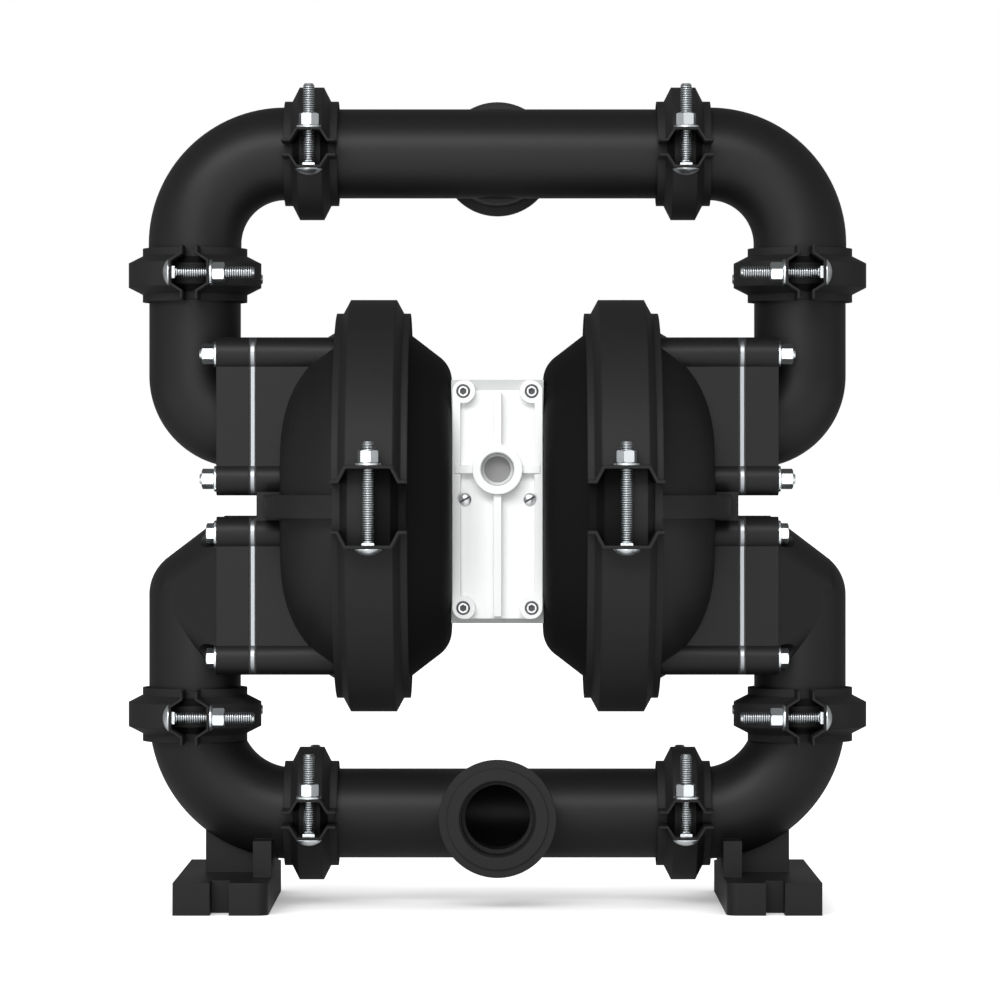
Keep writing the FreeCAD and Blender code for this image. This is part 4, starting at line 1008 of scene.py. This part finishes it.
@dataclass
class CadDress:
    """Finishes of the CAD nodes, which keep their own shapes."""

    finishes: Finishes

    def finish_of(self, node: str) -> Finish:
        """Finish of one CAD node.

        Args:
            node: the node's name.

        Returns:
            Its finish.
        """
        groups = (
            (Finishes.band, ("clamp_left", "clamp_right")),
            (Finishes.zinc, ("_bolts", "_nuts", "_washers", "_studs", "slotted_screws", "chamber_screws")),
            (Finishes.cap_screw, ("cover_screws",)),
            (Finishes.plate, ("seat_plates", "retainers", "inner_plates", "_rod")),
            (Finishes.gasket, ("gaskets",)),
            (Finishes.rubber, ("flap_left", "flap_right", "_seals", "diaphragm_left", "diaphragm_right")),
            (Finishes.white, ("_cover",)),
            # Darker white: painted shade on the centre block
            (Finishes.block, ("centre_block",)),
            # Darker, duller casting: painted shade on the inner chambers
            (Finishes.inner_casting, ("inner_chamber",)),
            (Finishes.muffler, ("muffler",)),
            (Finishes.bronze, ("bushings",)),
            (Finishes.aluminium, ("sleeve", "spool", "caps", "outer_plates")))
        for finish, words in groups:
            if any(word in node for word in words):
                return finish
        return Finishes.casting

    def build(self) -> None:
        """Dress every CAD node."""
        for node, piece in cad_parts.items():
            self.finishes.dress(piece, self.finish_of(node))
        LOG.info("dressed %d nodes", len(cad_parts))


# Camera, floor and light


@dataclass(frozen=True)
class SoftBox:
    """A lamp aimed at the pump.

    Its power is in watts and its size is width and height. Its azimuth is in degrees from the front towards
    +X, its elevation in degrees above the floor, and its distance is from the point aimed at.
    """

    name: str
    power: float
    size: Point
    azimuth: float
    elevation: float
    distance: float


@dataclass
class Studio:
    """Pale floor, soft light and the camera at the photograph's angle."""

    distance: float = 3.65
    camera_x: float = 0.00205
    camera_z: float = 0.3482
    lens: float = 160.2
    sensor: float = 36.0
    shift_y: float = -0.022
    far_end: float = 100.0
    floor_size: float = 400.0
    floor_colour: Colour = (0.60, 0.60, 0.60)
    floor_white: float = 1.10
    floor_gloss: float = 1.00
    # Painted shadow on the floor: how far the occlusion node looks, and how much it darkens the floor's glow
    painted_shadow_reach: float = 0.25
    painted_shadow_depth: float = 0.84
    front_sky: float = 0.62
    rear_sky: float = 0.24
    top_sky: float = 0.25
    gloss_full_y: float = -0.5
    gloss_gone_y: float = 0.2
    shade_samples: int = 16
    aim_height: float = 0.33
    lamps: Tuple[SoftBox, ...] = (
        SoftBox("key", 145.0, (4.0, 1.4), -14.0, 34.0, 4.0),
        SoftBox("strip", 6.0, (1.3, 2.0), -19.0, 5.0, 3.5),
        SoftBox("front", 15.0, (1.4, 1.4), -6.0, 2.0, 4.2))

    def camera(self) -> None:
        """Add the camera."""
        bpy.ops.object.camera_add(location=(self.camera_x, -self.distance, self.camera_z),
                                  rotation=(math.pi / 2.0, 0.0, 0.0))
        camera = bpy.context.object
        camera.name = "photo_camera"
        camera.data.lens = self.lens
        camera.data.sensor_width = self.sensor
        camera.data.shift_y = self.shift_y
        camera.data.clip_end = self.far_end
        bpy.context.scene.camera = camera

    def floor(self) -> None:
        """Add the floor: white to the camera, with a painted shadow near the pump, mirrored only in front of
        it.
        """
        Bench.clear()
        bpy.ops.mesh.primitive_plane_add(size=self.floor_size, location=(0.0, 0.0, 0.0))
        floor = bpy.context.object
        floor.name = "floor"
        material = bpy.data.materials.new("pale_floor")
        tree = Tree(material)
        # Painted shadow: an occlusion node finds the pump near the floor
        open_share = tree.node("ShaderNodeAmbientOcclusion", {"samples": self.shade_samples}, {
            "Distance": self.painted_shadow_reach})
        seen = tree.node("ShaderNodeLightPath")
        closed = 1.0 - Value(tree, open_share.outputs["AO"])
        across = tree.node("ShaderNodeSeparateXYZ", {}, {0: tree.place()})
        before = tree.node("ShaderNodeMapRange", {}, {
            "Value": across.outputs["Y"], "From Min": self.gloss_full_y, "From Max": self.gloss_gone_y,
            "To Min": self.floor_gloss, "To Max": 0.0})
        mirrored = Value(tree, before.outputs["Result"]) * Value(tree, seen.outputs["Is Glossy Ray"])
        rays = Value(tree, seen.outputs["Is Camera Ray"]) + mirrored
        # The floor's glow, darkened where the pump is near: a painted shadow
        white = self.floor_white * (1.0 - self.painted_shadow_depth * closed) * rays
        shader = tree.node("ShaderNodeBsdfPrincipled", {}, {
            "Base Color": (*self.floor_colour, 1.0), "Roughness": 0.9, "Specular IOR Level": 0.0,
            "Emission Color": white, "Emission Strength": 1.0})
        tree.node("ShaderNodeOutputMaterial", {}, {"Surface": shader.outputs["BSDF"]})
        floor.data.materials.append(material)

    def light(self, box: SoftBox) -> None:
        """Add a soft box aimed at the pump.

        Args:
            box: its name, power, size and place.
        """
        turn, rise = math.radians(box.azimuth), math.radians(box.elevation)
        aim = Vector((0.0, 0.0, self.aim_height))
        away = Vector((math.sin(turn) * math.cos(rise), -math.cos(turn) * math.cos(rise), math.sin(rise)))
        bpy.ops.object.light_add(type="AREA", location=aim + away * box.distance)
        light = bpy.context.object
        light.name = box.name
        light.data.shape = "RECTANGLE"
        light.data.size, light.data.size_y = box.size
        light.data.energy = box.power
        light.rotation_euler = away.to_track_quat("Z", "Y").to_euler()

    def surroundings(self) -> None:
        """White behind the pump, and an even light on it that is weaker from behind."""
        world = bpy.data.worlds.new("studio")
        bpy.context.scene.world = world
        tree = Tree(world)
        coordinates = tree.node("ShaderNodeTexCoord")
        direction = tree.node("ShaderNodeSeparateXYZ", {}, {0: coordinates.outputs["Generated"]})
        sky = tree.node("ShaderNodeMapRange", {}, {
            "Value": direction.outputs["Y"], "From Min": -1.0, "From Max": 1.0,
            "To Min": self.front_sky, "To Max": self.rear_sky})
        height = tree.node("ShaderNodeMapRange", {}, {
            "Value": direction.outputs["Z"], "From Min": 0.0, "From Max": 1.0,
            "To Min": 1.0, "To Max": self.top_sky})
        seen = Value(tree, tree.node("ShaderNodeLightPath").outputs["Is Camera Ray"])
        level = Value(tree, sky.outputs["Result"]) * Value(tree, height.outputs["Result"])
        strength = level * (1.0 - seen) + seen
        background = tree.node("ShaderNodeBackground", {}, {
            "Color": (1.0, 1.0, 1.0, 1.0), "Strength": strength})
        tree.node("ShaderNodeOutputWorld", {}, {"Surface": background.outputs["Background"]})

    def build(self) -> None:
        """Set the studio up."""
        self.camera()
        self.floor()
        self.surroundings()
        for box in self.lamps:
            self.light(box)
        bpy.context.scene.view_settings.view_transform = "Standard"


def main() -> None:
    """Dress the pump and set the studio up."""
    logging.basicConfig(level=logging.INFO)
    finishes = Finishes()
    CadDress(finishes).build()
    models = FastenerModels()
    ClampFasteners(finishes, models).build()
    FlangeFasteners(finishes, models).build()
    CoverFasteners(finishes).build()
    Diaphragms(finishes).build()
    Studio().build()


if __name__ == "__main__":
    main()
